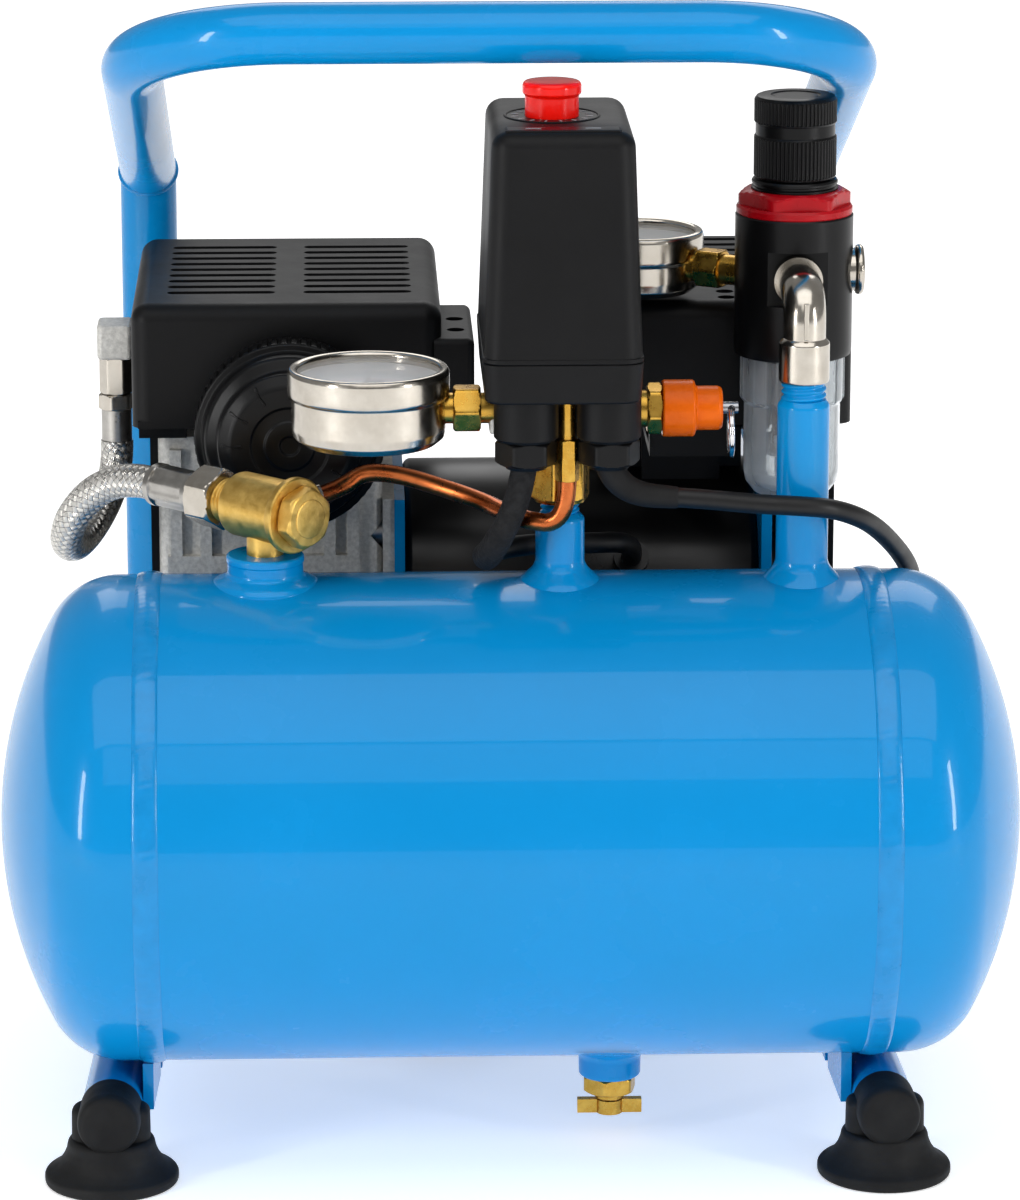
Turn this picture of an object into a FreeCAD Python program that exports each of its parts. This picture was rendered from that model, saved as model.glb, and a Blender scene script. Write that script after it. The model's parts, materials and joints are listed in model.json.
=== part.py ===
import FreeCAD, Part
import math
import os
from FreeCAD import Vector as V

# Small oil-free air compressor: a welded air tank on a bent tube frame, with a one-cylinder
# pump and its motor behind the tank, and the pressure switch, gauges and regulator on top.
# Millimetres. X to the right, Y to the back, Z up. While modelling, the tank's axis is at Y = 0
# and the floor at Z = 0; every piece is moved by ROW_SHIFT when it is written, so that the
# origin is the middle of the footprint.

# ---------------------------------------------------------------- driving dimensions
# tank
TANK_R = 80.0
TANK_LENGTH = 335.0
TANK_WALL = 2.0
HEAD_DISH = 40.0          # depth of the dish
HEAD_KNUCKLE_R = 26.0     # the dish's tight outer radius
HEAD_FLANGE = 9.5         # straight flange of each head
BEAD_WIDTH = 9.0
BEAD_HEIGHT = 1.2
# frame
TUBE_R = 10.0
TUBE_WALL = 1.5
SKID_Z = 23.5             # height of the skid tubes' centre
TANK_LIFT = 1.5           # the tank stands this far above the skid tubes, on the gussets
SKID_FRONT_Y = -40.0
SKID_SPLAY = 9.5          # each skid stands this much wider at its front end
LEG_Y = 210.0
LEG_SPACING = 236.0
FRAME_X = -5.0            # middle of the legs, handle and pump
LEG_BEND_R = 50.0
KINK_Z = 293.0
BAR_Y = 15.0
BAR_Z = 372.0
HANDLE_BEND_R = 52.0
FOOT_R = 22.0
FOOT_FRONT_Y = -32.0
FOOT_REAR_Y = 150.0
# pump
CRANK_Y = 130.0
CRANK_Z = 154.0
MOTOR_R = 50.0
MOTOR_LEFT_X = -33.5
MOTOR_LENGTH = 121.5
SHAFT_R = 4.0
THROW = 6.0
BORE_R = 21.0
CYLINDER_X = -81.4
CRANKCASE_LEFT_X = -117.0
CRANKCASE_RIGHT_X = -41.0
CRANKCASE_TOP_Z = 225.0
DECK_Z = 237.0            # joint between cylinder and valve plate
HEAD_SIDE = 64.0
HEAD_HEIGHT = 22.0
SHROUD_LENGTH = 104.0
SHROUD_FRONT_Y = 65.0
SHROUD_DEPTH = 124.0
SHROUD_TOP_Z = 273.0
SHROUD_BOTTOM_Z = 231.0
SHROUD_WALL = 2.5
FILTER_R = 32.0
FILTER_X = -72.0
FILTER_Z = 231.0
# air line
INLET_X = -80.0
VALVE_Z = 219.0
VALVE_TURN = 45.0         # the check valve's axis points this far forward of +X
PIPE_X = 16.0
PIPE_R = 8.0
RISER_X = 95.0
RISER_R = 8.5
RISER_TOP_Z = 262.0
DRAIN_X = 33.0
DRAIN_BOSS_R = 10.0
HOSE_R = 5.75
COPPER_R = 3.0
# pressure switch
SWITCH_BOTTOM_Z = 259.0
SWITCH_SEAM_Z = 272.0
SWITCH_TOP_Z = 346.0
SWITCH_WIDTH = 51.0
SWITCH_DEPTH = 80.0
SWITCH_Y = 11.0
BUTTON_X = 13.5
BUTTON_Y = 9.0
BUTTON_R = 8.75
BUTTON_TRAVEL = 5.0
# gauges: radius, centre x and y, bottom z, height, stem height
TANK_GAUGE = dict(r=26.25, x=-46.0, y=0.0, z=241.0, h=25.0, stem_z=252.0)
LINE_GAUGE = dict(r=21.0, x=46.0, y=72.5, z=276.0, h=21.0, stem_z=286.0)
# regulator
REG_Y = 45.0
REG_R = 19.5
REG_BOTTOM_Z = 260.0
REG_TOP_Z = 303.0
KNOB_R = 13.6
KNOB_TOP_Z = 346.5
BOWL_R = 16.0
BOWL_BOTTOM_Z = 212.0
OUTLET_BORE_R = 5.9
PORT_Z = 288.0
# electric leads
LEAD_R = 3.25
MOTOR_LEAD_R = 3.5
COIL_MEAN_R = 35.0
COIL_X = 38.0
COIL_Y = 148.0
# clearances
SEAT_GAP = 0.05           # between pieces that are pressed, screwed or seated together
RUN_GAP = 0.03            # radial running clearance
SLIDE_GAP = 0.3           # between a moving piece and the cover that it passes through

# ---------------------------------------------------------------- worked-out places
TANK_Z = SKID_Z + TUBE_R + TANK_LIFT + TANK_R
SEAM_X = TANK_LENGTH / 2 - HEAD_DISH - HEAD_FLANGE
LEG_X = {-1: FRAME_X - LEG_SPACING / 2, 1: FRAME_X + LEG_SPACING / 2}
MOTOR_RIGHT_X = MOTOR_LEFT_X + MOTOR_LENGTH
FRONT_Y = -(TANK_R + BEAD_HEIGHT)
BACK_Y = LEG_Y + TUBE_R
ROW_SHIFT = V(0, -(FRONT_Y + BACK_Y) / 2, 0)
AX, AY, AZ = V(1, 0, 0), V(0, 1, 0), V(0, 0, 1)

os.makedirs("parts", exist_ok=True)


# ---------------------------------------------------------------- shape helpers
def write(name, *solids):
    """Write one node: its solids, moved so that the origin is the middle of the footprint."""
    moved = []
    for solid in solids:
        copy = solid.copy()
        copy.translate(ROW_SHIFT)
        moved += copy.Solids
    for solid in moved:
        if not solid.isValid() or solid.Volume < 1.0:
            raise ValueError(name + " holds a bad solid")
    shape = moved[0] if len(moved) == 1 else Part.makeCompound(moved)
    shape.exportStep("parts/" + name + ".step")
    print("%-22s %2d solids %10.1f mm3" % (name, len(moved), sum(s.Volume for s in moved)))


def rod(start, axis, radius, length):
    return Part.makeCylinder(radius, length, start, axis)


def ring(start, axis, outer, inner, length):
    return rod(start, axis, outer, length).cut(rod(start, axis, inner, length))


def block(x, y, z):
    return Part.makeBox(x[1] - x[0], y[1] - y[0], z[1] - z[0], V(x[0], y[0], z[0]))


def placed(shape, start, axis, turn=0.0):
    """Move a shape made about local Z so that Z lies along axis, after a turn about itself."""
    shape.rotate(V(), AZ, turn)
    shape.Placement = FreeCAD.Placement(start, FreeCAD.Rotation(AZ, axis)).multiply(shape.Placement)
    return shape


def hexagon(start, axis, across_flats, length, turn=0.0):
    corner = across_flats / math.sqrt(3)
    points = [V(corner * math.cos(math.radians(60 * k)), corner * math.sin(math.radians(60 * k)), 0)
              for k in range(7)]
    prism = Part.Face(Part.makePolygon(points)).extrude(V(0, 0, length))
    return placed(prism, start, axis, turn)


def turned(profile, start, axis):
    """Revolve a closed outline of (radius, distance along the axis) points."""
    points = [V(r, 0, t) for r, t in profile]
    face = Part.Face(Part.makePolygon(points + points[:1]))
    return placed(face.revolve(V(), AZ, 360), start, axis)


def rounded_block(x, y, z, radius):
    """A box with its upright edges and its top edges rounded."""
    solid = block(x, y, z)
    edges = [e for e in solid.Edges if min(v.Z for v in e.Vertexes) > z[0] - 0.01 and not
             all(abs(v.Z - z[0]) < 0.01 for v in e.Vertexes)]
    return solid.makeFillet(radius, edges)


def rounded_outline(width, depth, radius, centre):
    """A closed wire: a rectangle with round corners, level, about centre."""
    a, b = width / 2 - radius, depth / 2 - radius
    corners = [(a, b, 0), (-a, b, 90), (-a, -b, 180), (a, -b, 270)]
    edges = []
    for k, (cx, cy, first) in enumerate(corners):
        middle = centre + V(cx, cy, 0)
        arc = [middle + V(radius * math.cos(math.radians(first + d)),
                          radius * math.sin(math.radians(first + d)), 0) for d in (0, 45, 90)]
        edges.append(Part.Arc(*arc).toShape())
        nx, ny, first_next = corners[(k + 1) % 4]
        start = centre + V(nx, ny, 0) + V(radius * math.cos(math.radians(first_next)),
                                          radius * math.sin(math.radians(first_next)), 0)
        edges.append(Part.LineSegment(arc[2], start).toShape())
    return Part.Wire(edges)


def route_wire(points, bend=None):
    """Straight runs joined by tangent arcs. Each arc has the radius bend, or, where bend is
    None, 0.45 of its shorter run over the tangent of half its turn. Returns wire and radii."""
    edges, radii, last = [], [], points[0]
    for before, corner, after in zip(points, points[1:], points[2:]):
        a, b = (corner - before), (after - corner)
        half = a.getAngle(b) / 2
        radius = bend or 0.45 * min(a.Length, b.Length) / math.tan(half)
        reach = radius * math.tan(half)
        u, w = a.normalize(), b.normalize()
        start, end = corner - u * reach, corner + w * reach
        middle = corner + (w - u).normalize() * (radius / math.cos(half) - radius)
        edges.append(Part.LineSegment(last, start).toShape())
        edges.append(Part.Arc(start, middle, end).toShape())
        radii.append(radius)
        last = end
    edges.append(Part.LineSegment(last, points[-1]).toShape())
    return Part.Wire(edges), radii


def tube(points, outer, inner=0.0, bend=None):
    """Carry a round section along a route."""
    wire, radii = route_wire(points, bend)
    along = points[1] - points[0]
    solid, bore = [wire.makePipe(Part.Face(Part.Wire(Part.Circle(points[0], along, r).toShape())))
                   for r in (outer, inner or outer)]
    return (solid.cut(bore) if inner else solid), wire, radii


def cord(name, points, radius):
    """A plain cord tube; prints its length, its bends and how its volume compares."""
    solid, wire, radii = tube(points, radius)
    ratio = solid.Volume / (math.pi * radius ** 2 * wire.Length)
    print("%s: length %.0f mm, smallest bends %s mm, volume over section times length %.4f"
          % (name, wire.Length, [round(r, 1) for r in sorted(radii)[:3]], ratio))
    return solid


# ---------------------------------------------------------------- tank
def dish(inset):
    """A solid dished end with a straight flange: a knuckle arc that runs into a crown arc."""
    radius, knuckle = TANK_R - inset, HEAD_KNUCKLE_R - inset
    centre_r = TANK_R - HEAD_KNUCKLE_R
    crown = (HEAD_DISH ** 2 - HEAD_KNUCKLE_R ** 2 + centre_r ** 2) / (2 * (HEAD_DISH - HEAD_KNUCKLE_R))
    crown_z = HEAD_FLANGE + HEAD_DISH - crown
    lean_angle = math.atan2(centre_r, HEAD_FLANGE - crown_z)
    corner = V(centre_r, 0, HEAD_FLANGE)

    def on_knuckle(angle):
        return corner + V(math.sin(angle), 0, math.cos(angle)) * knuckle

    def on_crown(angle):
        return V(math.sin(angle), 0, math.cos(angle)) * (crown - inset) + AZ * crown_z

    edges = [Part.LineSegment(V(), V(radius, 0, 0)),
             Part.LineSegment(V(radius, 0, 0), on_knuckle(math.pi / 2)),
             Part.Arc(on_knuckle(math.pi / 2), on_knuckle((math.pi / 2 + lean_angle) / 2),
                      on_knuckle(lean_angle)),
             Part.Arc(on_crown(lean_angle), on_crown(lean_angle / 2), on_crown(0)),
             Part.LineSegment(on_crown(0), V())]
    outline = Part.Wire([edge.toShape() for edge in edges])
    return Part.Face(outline).revolve(V(), AZ, 360)


def dished_head(side):
    """A hollow dished end, with the weld bead over its seam."""
    head = dish(0.0).cut(dish(TANK_WALL))
    on_shell = TANK_R + SEAT_GAP
    inside = TANK_R - TANK_WALL / 2
    bead = turned([(inside, 0), (on_shell, 0), (on_shell, -BEAD_WIDTH / 2),
                   (TANK_R + BEAD_HEIGHT, -BEAD_WIDTH / 4), (TANK_R + BEAD_HEIGHT, BEAD_WIDTH / 4),
                   (TANK_R, BEAD_WIDTH / 2), (inside, BEAD_WIDTH / 2)],
                  V(), AZ)
    return placed(head.fuse(bead), V(side * SEAM_X, 0, TANK_Z), V(side, 0, 0))


straight_half = SEAM_X + HEAD_FLANGE
tank_space = rod(V(-straight_half, 0, TANK_Z), AX, TANK_R + SEAT_GAP, 2 * straight_half)
beads = [rod(V(side * SEAM_X - BEAD_WIDTH / 2, 0, TANK_Z), AX, TANK_R + BEAD_HEIGHT + SEAT_GAP, BEAD_WIDTH)
         for side in (-1, 1)]
tank_space = tank_space.fuse(beads)
PUMP_CLEARANCE = 1.5
pump_room = rod(V(-straight_half, 0, TANK_Z), AX, TANK_R + PUMP_CLEARANCE, 2 * straight_half)
TANK_TOP_Z = TANK_Z + TANK_R
TANK_BOTTOM_Z = TANK_Z - TANK_R
INLET_BOSS_TOP = TANK_TOP_Z + 9.0
INLET_BOSS_R = 12.5
VALVE_STEM_R = 6.0
PIPE_SHOULDER_Z = TANK_TOP_Z + 22.0
PIPE_TOP_Z = PIPE_SHOULDER_Z + 17.0
PIPE_NECK_R = 6.3
PIPE_BORE_R = 4.0
RISER_NECK_R = 7.25
RISER_NECK_Z = RISER_TOP_Z - 8.0
DRAIN_BOSS_Z = TANK_BOTTOM_Z - 11.0
DRAIN_THREAD_R = 5.0
SKIRT_SINK = 6.0          # how far the weld skirts start below the tank's crown


def socket(x, direction, reach, radius, bore, skirt_r, skirt_h, neck=None):
    """A stub welded on the tank: a round wall with a weld skirt, cut to the tank's curve."""
    start = V(x, 0, TANK_TOP_Z - SKIRT_SINK if direction > 0 else TANK_BOTTOM_Z + SKIRT_SINK)
    up = SKIRT_SINK
    outline = [(bore, 0), (skirt_r, 0), (skirt_r, up - 1.0), (radius, up + skirt_h)]
    if neck:
        neck_r, neck_start = neck
        outline += [(radius, up + neck_start - 1.0), (neck_r, up + neck_start), (neck_r, up + reach)]
    else:
        outline += [(radius, up + reach)]
    outline += [(bore, up + reach)]
    return turned(outline, start, V(0, 0, direction)).cut(tank_space)


sockets = [
    socket(INLET_X, 1, INLET_BOSS_TOP - TANK_TOP_Z, INLET_BOSS_R, VALVE_STEM_R + SEAT_GAP, 18.0, 4.0),
    socket(PIPE_X, 1, PIPE_TOP_Z - TANK_TOP_Z, PIPE_R, PIPE_BORE_R, 15.0, 4.5,
           (PIPE_NECK_R, PIPE_SHOULDER_Z - TANK_TOP_Z)),
    socket(RISER_X, 1, RISER_TOP_Z - TANK_TOP_Z, RISER_R, 5.0, 14.0, 4.0,
           (RISER_NECK_R, RISER_NECK_Z - TANK_TOP_Z)),
    socket(DRAIN_X, -1, TANK_BOTTOM_Z - DRAIN_BOSS_Z, DRAIN_BOSS_R, DRAIN_THREAD_R, 15.0, 3.0)]
write("tank_sockets", *sockets)

shell = ring(V(-SEAM_X, 0, TANK_Z), AX, TANK_R, TANK_R - TANK_WALL, 2 * SEAM_X)
for hole_x, hole_r, hole_z in ((INLET_X, VALVE_STEM_R, TANK_Z), (PIPE_X, PIPE_BORE_R, TANK_Z),
                               (RISER_X, 5.0, TANK_Z), (DRAIN_X, DRAIN_THREAD_R, 0.0)):
    shell = shell.cut(rod(V(hole_x, 0, hole_z), AZ, hole_r, TANK_Z))
write("tank_shell", shell)
write("tank_heads", dished_head(-1), dished_head(1))


# ---------------------------------------------------------------- frame
def skid_x(side, y):
    """Where a skid's centre line is at a given depth."""
    share = (LEG_Y - y) / (LEG_Y - SKID_FRONT_Y)
    return LEG_X[side] + side * SKID_SPLAY * share


def skid_direction(side):
    return (V(skid_x(side, SKID_FRONT_Y), SKID_FRONT_Y, 0) - V(LEG_X[side], LEG_Y, 0)).normalize()


BIG = 400.0
MITRE_REACH = 20.0
kink = {side: V(LEG_X[side], LEG_Y, KINK_Z) for side in (-1, 1)}
lean = (V(0, BAR_Y, BAR_Z) - V(0, LEG_Y, KINK_Z)).normalize()
mitre = (AZ + lean).normalize()


def beyond_mitre(direction):
    """The half space on one side of the two kinks' common mitre plane."""
    half = Part.makeBox(BIG, BIG, BIG, V(-BIG / 2, -BIG / 2, 0))
    return placed(half, V(FRAME_X, LEG_Y, KINK_Z), direction)


def frame_tube(side):
    points = [V(skid_x(side, SKID_FRONT_Y), SKID_FRONT_Y, SKID_Z), V(LEG_X[side], LEG_Y, SKID_Z),
              kink[side] + AZ * MITRE_REACH]
    solid = tube(points, TUBE_R, TUBE_R - TUBE_WALL, LEG_BEND_R)[0]
    return solid.cut(beyond_mitre(mitre))


frame_tubes = {side: frame_tube(side) for side in (-1, 1)}
write("frame_tube_left", frame_tubes[-1])
write("frame_tube_right", frame_tubes[1])

handle_points = [kink[-1] - lean * MITRE_REACH, V(LEG_X[-1], BAR_Y, BAR_Z),
                 V(LEG_X[1], BAR_Y, BAR_Z), kink[1] - lean * MITRE_REACH]
handle = tube(handle_points, TUBE_R, TUBE_R - TUBE_WALL, HANDLE_BEND_R)[0]
write("handle", handle.cut(beyond_mitre(mitre * -1)))

CAP_DOME = 7.0
CAP_R = TUBE_R + 0.3
CAP_PLUG = 12.0
FOOT_RIM = 6.0
FOOT_TOP_R = 14.0
SADDLE_HALF = 13.0
SADDLE_DEPTH = 15.0


def end_cap(side):
    """A plug in the skid's front end, with a low domed head."""
    inside = TUBE_R - TUBE_WALL - SEAT_GAP
    outline = [(0, -CAP_PLUG), (inside, -CAP_PLUG), (inside, 0), (CAP_R, 0), (CAP_R, CAP_DOME - 2.5),
               (CAP_R - 2.5, CAP_DOME), (0, CAP_DOME)]
    return turned(outline, V(skid_x(side, SKID_FRONT_Y), SKID_FRONT_Y, SKID_Z), skid_direction(side))


def rubber_foot(side, y):
    """A round pad with a conical body and two ears that hold the skid tube between them."""
    x = skid_x(side, y)
    pad = turned([(0, 0), (FOOT_R - 1, 0), (FOOT_R, 1), (FOOT_R, FOOT_RIM - 1),
                  (FOOT_R - 2, FOOT_RIM), (FOOT_TOP_R, SKID_Z - TUBE_R), (0, SKID_Z - TUBE_R)],
                 V(x, y, 0), AZ)
    ears = block((x - SADDLE_HALF, x + SADDLE_HALF), (y - SADDLE_DEPTH / 2, y + SADDLE_DEPTH / 2),
                 (FOOT_RIM, SKID_Z + 3.0))
    room = rod(V(x, y, SKID_Z) - skid_direction(side) * 60, skid_direction(side),
               TUBE_R + SEAT_GAP, 120)
    cap_room = rod(V(skid_x(side, SKID_FRONT_Y), SKID_FRONT_Y, SKID_Z), skid_direction(side),
                   CAP_R + SEAT_GAP, CAP_DOME + 1.0)
    return pad.fuse(ears).cut(room).cut(cap_room)


feet = [rubber_foot(side, y) for side in (-1, 1) for y in (FOOT_FRONT_Y, FOOT_REAR_Y)]
write("feet_and_end_caps", *feet, end_cap(-1), end_cap(1))

GUSSET_THICKNESS = 3.5
GUSSET_LENGTH = 34.0
CRADLE_Z = 98.0
CRADLE_SHEET = 3.0
UPRIGHT_TOP_Z = 203.0
UPRIGHT_HALF = 53.0
UPRIGHT_SHEET = MOTOR_LEFT_X + 37.0


def gusset(side, y):
    """A plate on the inner side of a skid, welded to the tube and up to the tank."""
    inner = skid_x(side, y) - side * (TUBE_R + SEAT_GAP)
    x = sorted((inner, inner - side * GUSSET_THICKNESS))
    plate = block(x, (y - GUSSET_LENGTH / 2, y + GUSSET_LENGTH / 2), (SKID_Z - 2.0, TANK_Z))
    along = skid_direction(side)
    plate.rotate(V(inner, y, 0), AZ, math.degrees(math.atan2(along.x, -along.y)))
    return plate.cut(tank_space).Solids[0]


def upright(x):
    """A plate across the cradle that carries the pump, with a round middle hole."""
    plate = block((x, x + UPRIGHT_SHEET), (CRANK_Y - UPRIGHT_HALF, CRANK_Y + UPRIGHT_HALF),
                  (CRADLE_Z + CRADLE_SHEET, UPRIGHT_TOP_Z))
    return plate.cut(rod(V(x, CRANK_Y, CRANK_Z), AX, 20.0, UPRIGHT_SHEET))


leg_rods = [rod(V(LEG_X[side], LEG_Y, 60), AZ, TUBE_R + SEAT_GAP, 100) for side in (-1, 1)]
cradle = block((LEG_X[-1] - 4, LEG_X[1] + 4), (TANK_R - 8, LEG_Y + 2), (CRADLE_Z, CRADLE_Z + CRADLE_SHEET))
left_upright_x = MOTOR_LEFT_X - UPRIGHT_SHEET
cradle = cradle.fuse([upright(left_upright_x), upright(MOTOR_RIGHT_X)])
for solid in [tank_space] + leg_rods:
    cradle = cradle.cut(solid)
SCREW_R = 2.5
FLANGE_SCREWS = [(CRANK_Y + dy, CRANK_Z + dz) for dy in (-45, 45) for dz in (-36, 36)]
for screw_y, screw_z in FLANGE_SCREWS:
    cradle = cradle.cut(rod(V(left_upright_x - 1, screw_y, screw_z), AX, SCREW_R + SEAT_GAP, 10))
gussets = [gusset(side, y) for side in (-1, 1) for y in (-7.0, 34.0)]
write("frame_brackets", cradle, *gussets)

# ---------------------------------------------------------------- pump
CASE_WALL = 4.0
CASE_FRONT_WALL = 7.0
CASE_FRONT_Y = 79.0
CASE_BACK_Y = 2 * CRANK_Y - CASE_FRONT_Y
CASE_BOTTOM_Z = CRADLE_Z + CRADLE_SHEET + 4.0
FLANGE_X = left_upright_x - 4.0
BEARING_R = 11.0
BEARING_WIDTH = 7.0
SLEEVE_R = BORE_R + 3.0
VALVE_PLATE_Z = DECK_Z + 3.0
HEAD_TOP_Z = VALVE_PLATE_Z + HEAD_HEIGHT
BOLT_OFFSET = 26.0
CYLINDER_BOTTOM_Z = 200.0
SEAT_FLANGE_H = 4.0

case = block((CRANKCASE_LEFT_X, CRANKCASE_RIGHT_X), (CASE_FRONT_Y, CASE_BACK_Y),
             (CASE_BOTTOM_Z, CRANKCASE_TOP_Z))
case = case.makeFillet(4.0, [e for e in case.Edges if abs(e.Vertexes[0].Z - e.Vertexes[-1].Z) > 50])
ledge = block((CRANKCASE_LEFT_X + 3, CRANKCASE_RIGHT_X - 8), (CASE_FRONT_Y - 3, CASE_FRONT_Y + 1),
              (CASE_BOTTOM_Z + 4, CRANK_Z + 30))
ribs = [block((x, x + 4), (CASE_FRONT_Y - 3, CASE_FRONT_Y + 1), (CRANK_Z + 29, CRANKCASE_TOP_Z - 4))
        for x in (CRANKCASE_LEFT_X + 4, CRANKCASE_LEFT_X + 14, CRANKCASE_RIGHT_X - 20, CRANKCASE_RIGHT_X - 12)]
flange = block((FLANGE_X, left_upright_x), (CRANK_Y - UPRIGHT_HALF + 1, CRANK_Y + UPRIGHT_HALF - 1),
               (CASE_BOTTOM_Z + 2, UPRIGHT_TOP_Z))
case = case.fuse([ledge, flange] + ribs).cut(pump_room)
case = case.cut(block((CRANKCASE_LEFT_X + CASE_WALL, FLANGE_X - CASE_WALL),
                      (CASE_FRONT_Y + CASE_FRONT_WALL, CASE_BACK_Y - CASE_WALL),
                      (CASE_BOTTOM_Z + CASE_WALL, CRANKCASE_TOP_Z - CASE_WALL)))
case = case.cut(rod(V(CYLINDER_X, CRANK_Y, CRANKCASE_TOP_Z - 10), AZ, SLEEVE_R + SEAT_GAP, 20))
case = case.cut(rod(V(FLANGE_X - 10, CRANK_Y, CRANK_Z), AX, BEARING_R + SEAT_GAP, 20))
for screw_y, screw_z in FLANGE_SCREWS:
    case = case.cut(rod(V(FLANGE_X - 1, screw_y, screw_z), AX, SCREW_R + SEAT_GAP, 10))
    case = case.cut(rod(V(FLANGE_X - 14, screw_y, screw_z), AX, 6.0, 14))
head_bolts = [(CYLINDER_X + dx, CRANK_Y + dy) for dx in (-BOLT_OFFSET, BOLT_OFFSET)
              for dy in (-BOLT_OFFSET, BOLT_OFFSET)]
for bolt_x, bolt_y in head_bolts:
    case = case.cut(rod(V(bolt_x, bolt_y, CRANKCASE_TOP_Z - 10), AZ, SCREW_R + SEAT_GAP, 20))
write("crankcase", case)

cylinder = ring(V(CYLINDER_X, CRANK_Y, CYLINDER_BOTTOM_Z), AZ, SLEEVE_R, BORE_R,
                DECK_Z - CYLINDER_BOTTOM_Z)
seat = block((CYLINDER_X - HEAD_SIDE / 2, CYLINDER_X + HEAD_SIDE / 2),
             (CRANK_Y - HEAD_SIDE / 2, CRANK_Y + HEAD_SIDE / 2),
             (CRANKCASE_TOP_Z, CRANKCASE_TOP_Z + SEAT_FLANGE_H))
seat = seat.cut(rod(V(CYLINDER_X, CRANK_Y, CRANKCASE_TOP_Z), AZ, BORE_R, SEAT_FLANGE_H))
cylinder = cylinder.fuse(seat)


def head_plate(z, height):
    return block((CYLINDER_X - HEAD_SIDE / 2, CYLINDER_X + HEAD_SIDE / 2),
                 (CRANK_Y - HEAD_SIDE / 2, CRANK_Y + HEAD_SIDE / 2), (z, z + height))


valve_plate = head_plate(DECK_Z, VALVE_PLATE_Z - DECK_Z)
for port_x in (-9.0, 9.0):
    valve_plate = valve_plate.cut(rod(V(CYLINDER_X + port_x, CRANK_Y, DECK_Z), AZ, 4.0, 3.0))

HEAD_PORT_Y = 113.0
HEAD_PORT_Z = 252.0
INTAKE_Z = 250.0
head = head_plate(VALVE_PLATE_Z, HEAD_HEIGHT)
for chamber in (((-26, -2), (-20, 20)), ((2, 26), (-20, 20))):
    (x0, x1), (y0, y1) = chamber
    head = head.cut(block((CYLINDER_X + x0, CYLINDER_X + x1), (CRANK_Y + y0, CRANK_Y + y1),
                          (VALVE_PLATE_Z, VALVE_PLATE_Z + 13)))
for fin in range(6):
    fin_y = CRANK_Y - HEAD_SIDE / 2 + 6.0 + fin * 9.6
    head = head.cut(block((CYLINDER_X - 20, CYLINDER_X + 20), (fin_y, fin_y + 4.5),
                          (HEAD_TOP_Z - 5, HEAD_TOP_Z)))
SPIGOT_R = 5.0
head_left_x = CYLINDER_X - HEAD_SIDE / 2
OUTLET_BLOCK_X = -138.0
OUTLET_BLOCK_W = 12.0
spigot = rod(V(OUTLET_BLOCK_X + OUTLET_BLOCK_W, HEAD_PORT_Y, HEAD_PORT_Z), AX, SPIGOT_R,
             head_left_x - OUTLET_BLOCK_X - OUTLET_BLOCK_W)
head = head.fuse(spigot)
head = head.cut(rod(V(OUTLET_BLOCK_X, HEAD_PORT_Y, HEAD_PORT_Z), AX, 3.0, 32))
head_front_y = CRANK_Y - HEAD_SIDE / 2
head = head.cut(rod(V(FILTER_X, head_front_y - 1, INTAKE_Z), AY, 4.5, 18))
bolt_holes = [rod(V(x, y, CRANKCASE_TOP_Z - 10), AZ, SCREW_R + SEAT_GAP, 60) for x, y in head_bolts]
for bolt_hole in bolt_holes:
    cylinder = cylinder.cut(bolt_hole)
    valve_plate = valve_plate.cut(bolt_hole)
    head = head.cut(bolt_hole)
write("cylinder", cylinder)
write("valve_plate", valve_plate)
write("cylinder_head", head)


def cap_screw(start, axis, length, head_r=4.2, head_h=3.5):
    """Socket cap screw: start is under the head, axis points out of the head."""
    screw = rod(start - axis * length, axis, SCREW_R, length).fuse(rod(start, axis, head_r, head_h))
    return screw.cut(hexagon(start + axis * (head_h - 2), axis, 4.0, 2.0))


screws = [cap_screw(V(x, y, HEAD_TOP_Z), AZ, HEAD_TOP_Z - CRANKCASE_TOP_Z + 5) for x, y in head_bolts]
screws += [cap_screw(V(FLANGE_X, y, z), AX * -1, left_upright_x + UPRIGHT_SHEET - FLANGE_X)
           for y, z in FLANGE_SCREWS]
write("pump_screws", *screws)

ROD_WIDTH = 8.0
ROD_LENGTH = 64.0
PISTON_H = 12.0
BIG_END_R = 13.0
PIN_R = 5.0
PIN_GAP = 0.4
rod_left_x = CYLINDER_X - ROD_WIDTH / 2
piston_z = CRANK_Z + ROD_LENGTH
big_end = rod(V(rod_left_x, CRANK_Y, CRANK_Z), AX, BIG_END_R, ROD_WIDTH)
web = block((rod_left_x, rod_left_x + ROD_WIDTH), (CRANK_Y - 5, CRANK_Y + 5), (CRANK_Z, piston_z + 1))
piston = turned([(0, 0), (BORE_R - 1.5, 0), (BORE_R - SEAT_GAP, 1.5), (BORE_R - SEAT_GAP, PISTON_H),
                 (0, PISTON_H)], V(CYLINDER_X, CRANK_Y, piston_z), AZ)
piston_rod = big_end.fuse([web, piston]).cut(rod(V(rod_left_x, CRANK_Y, CRANK_Z), AX, PIN_R + 0.1, ROD_WIDTH))
write("piston_rod", piston_rod)

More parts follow.
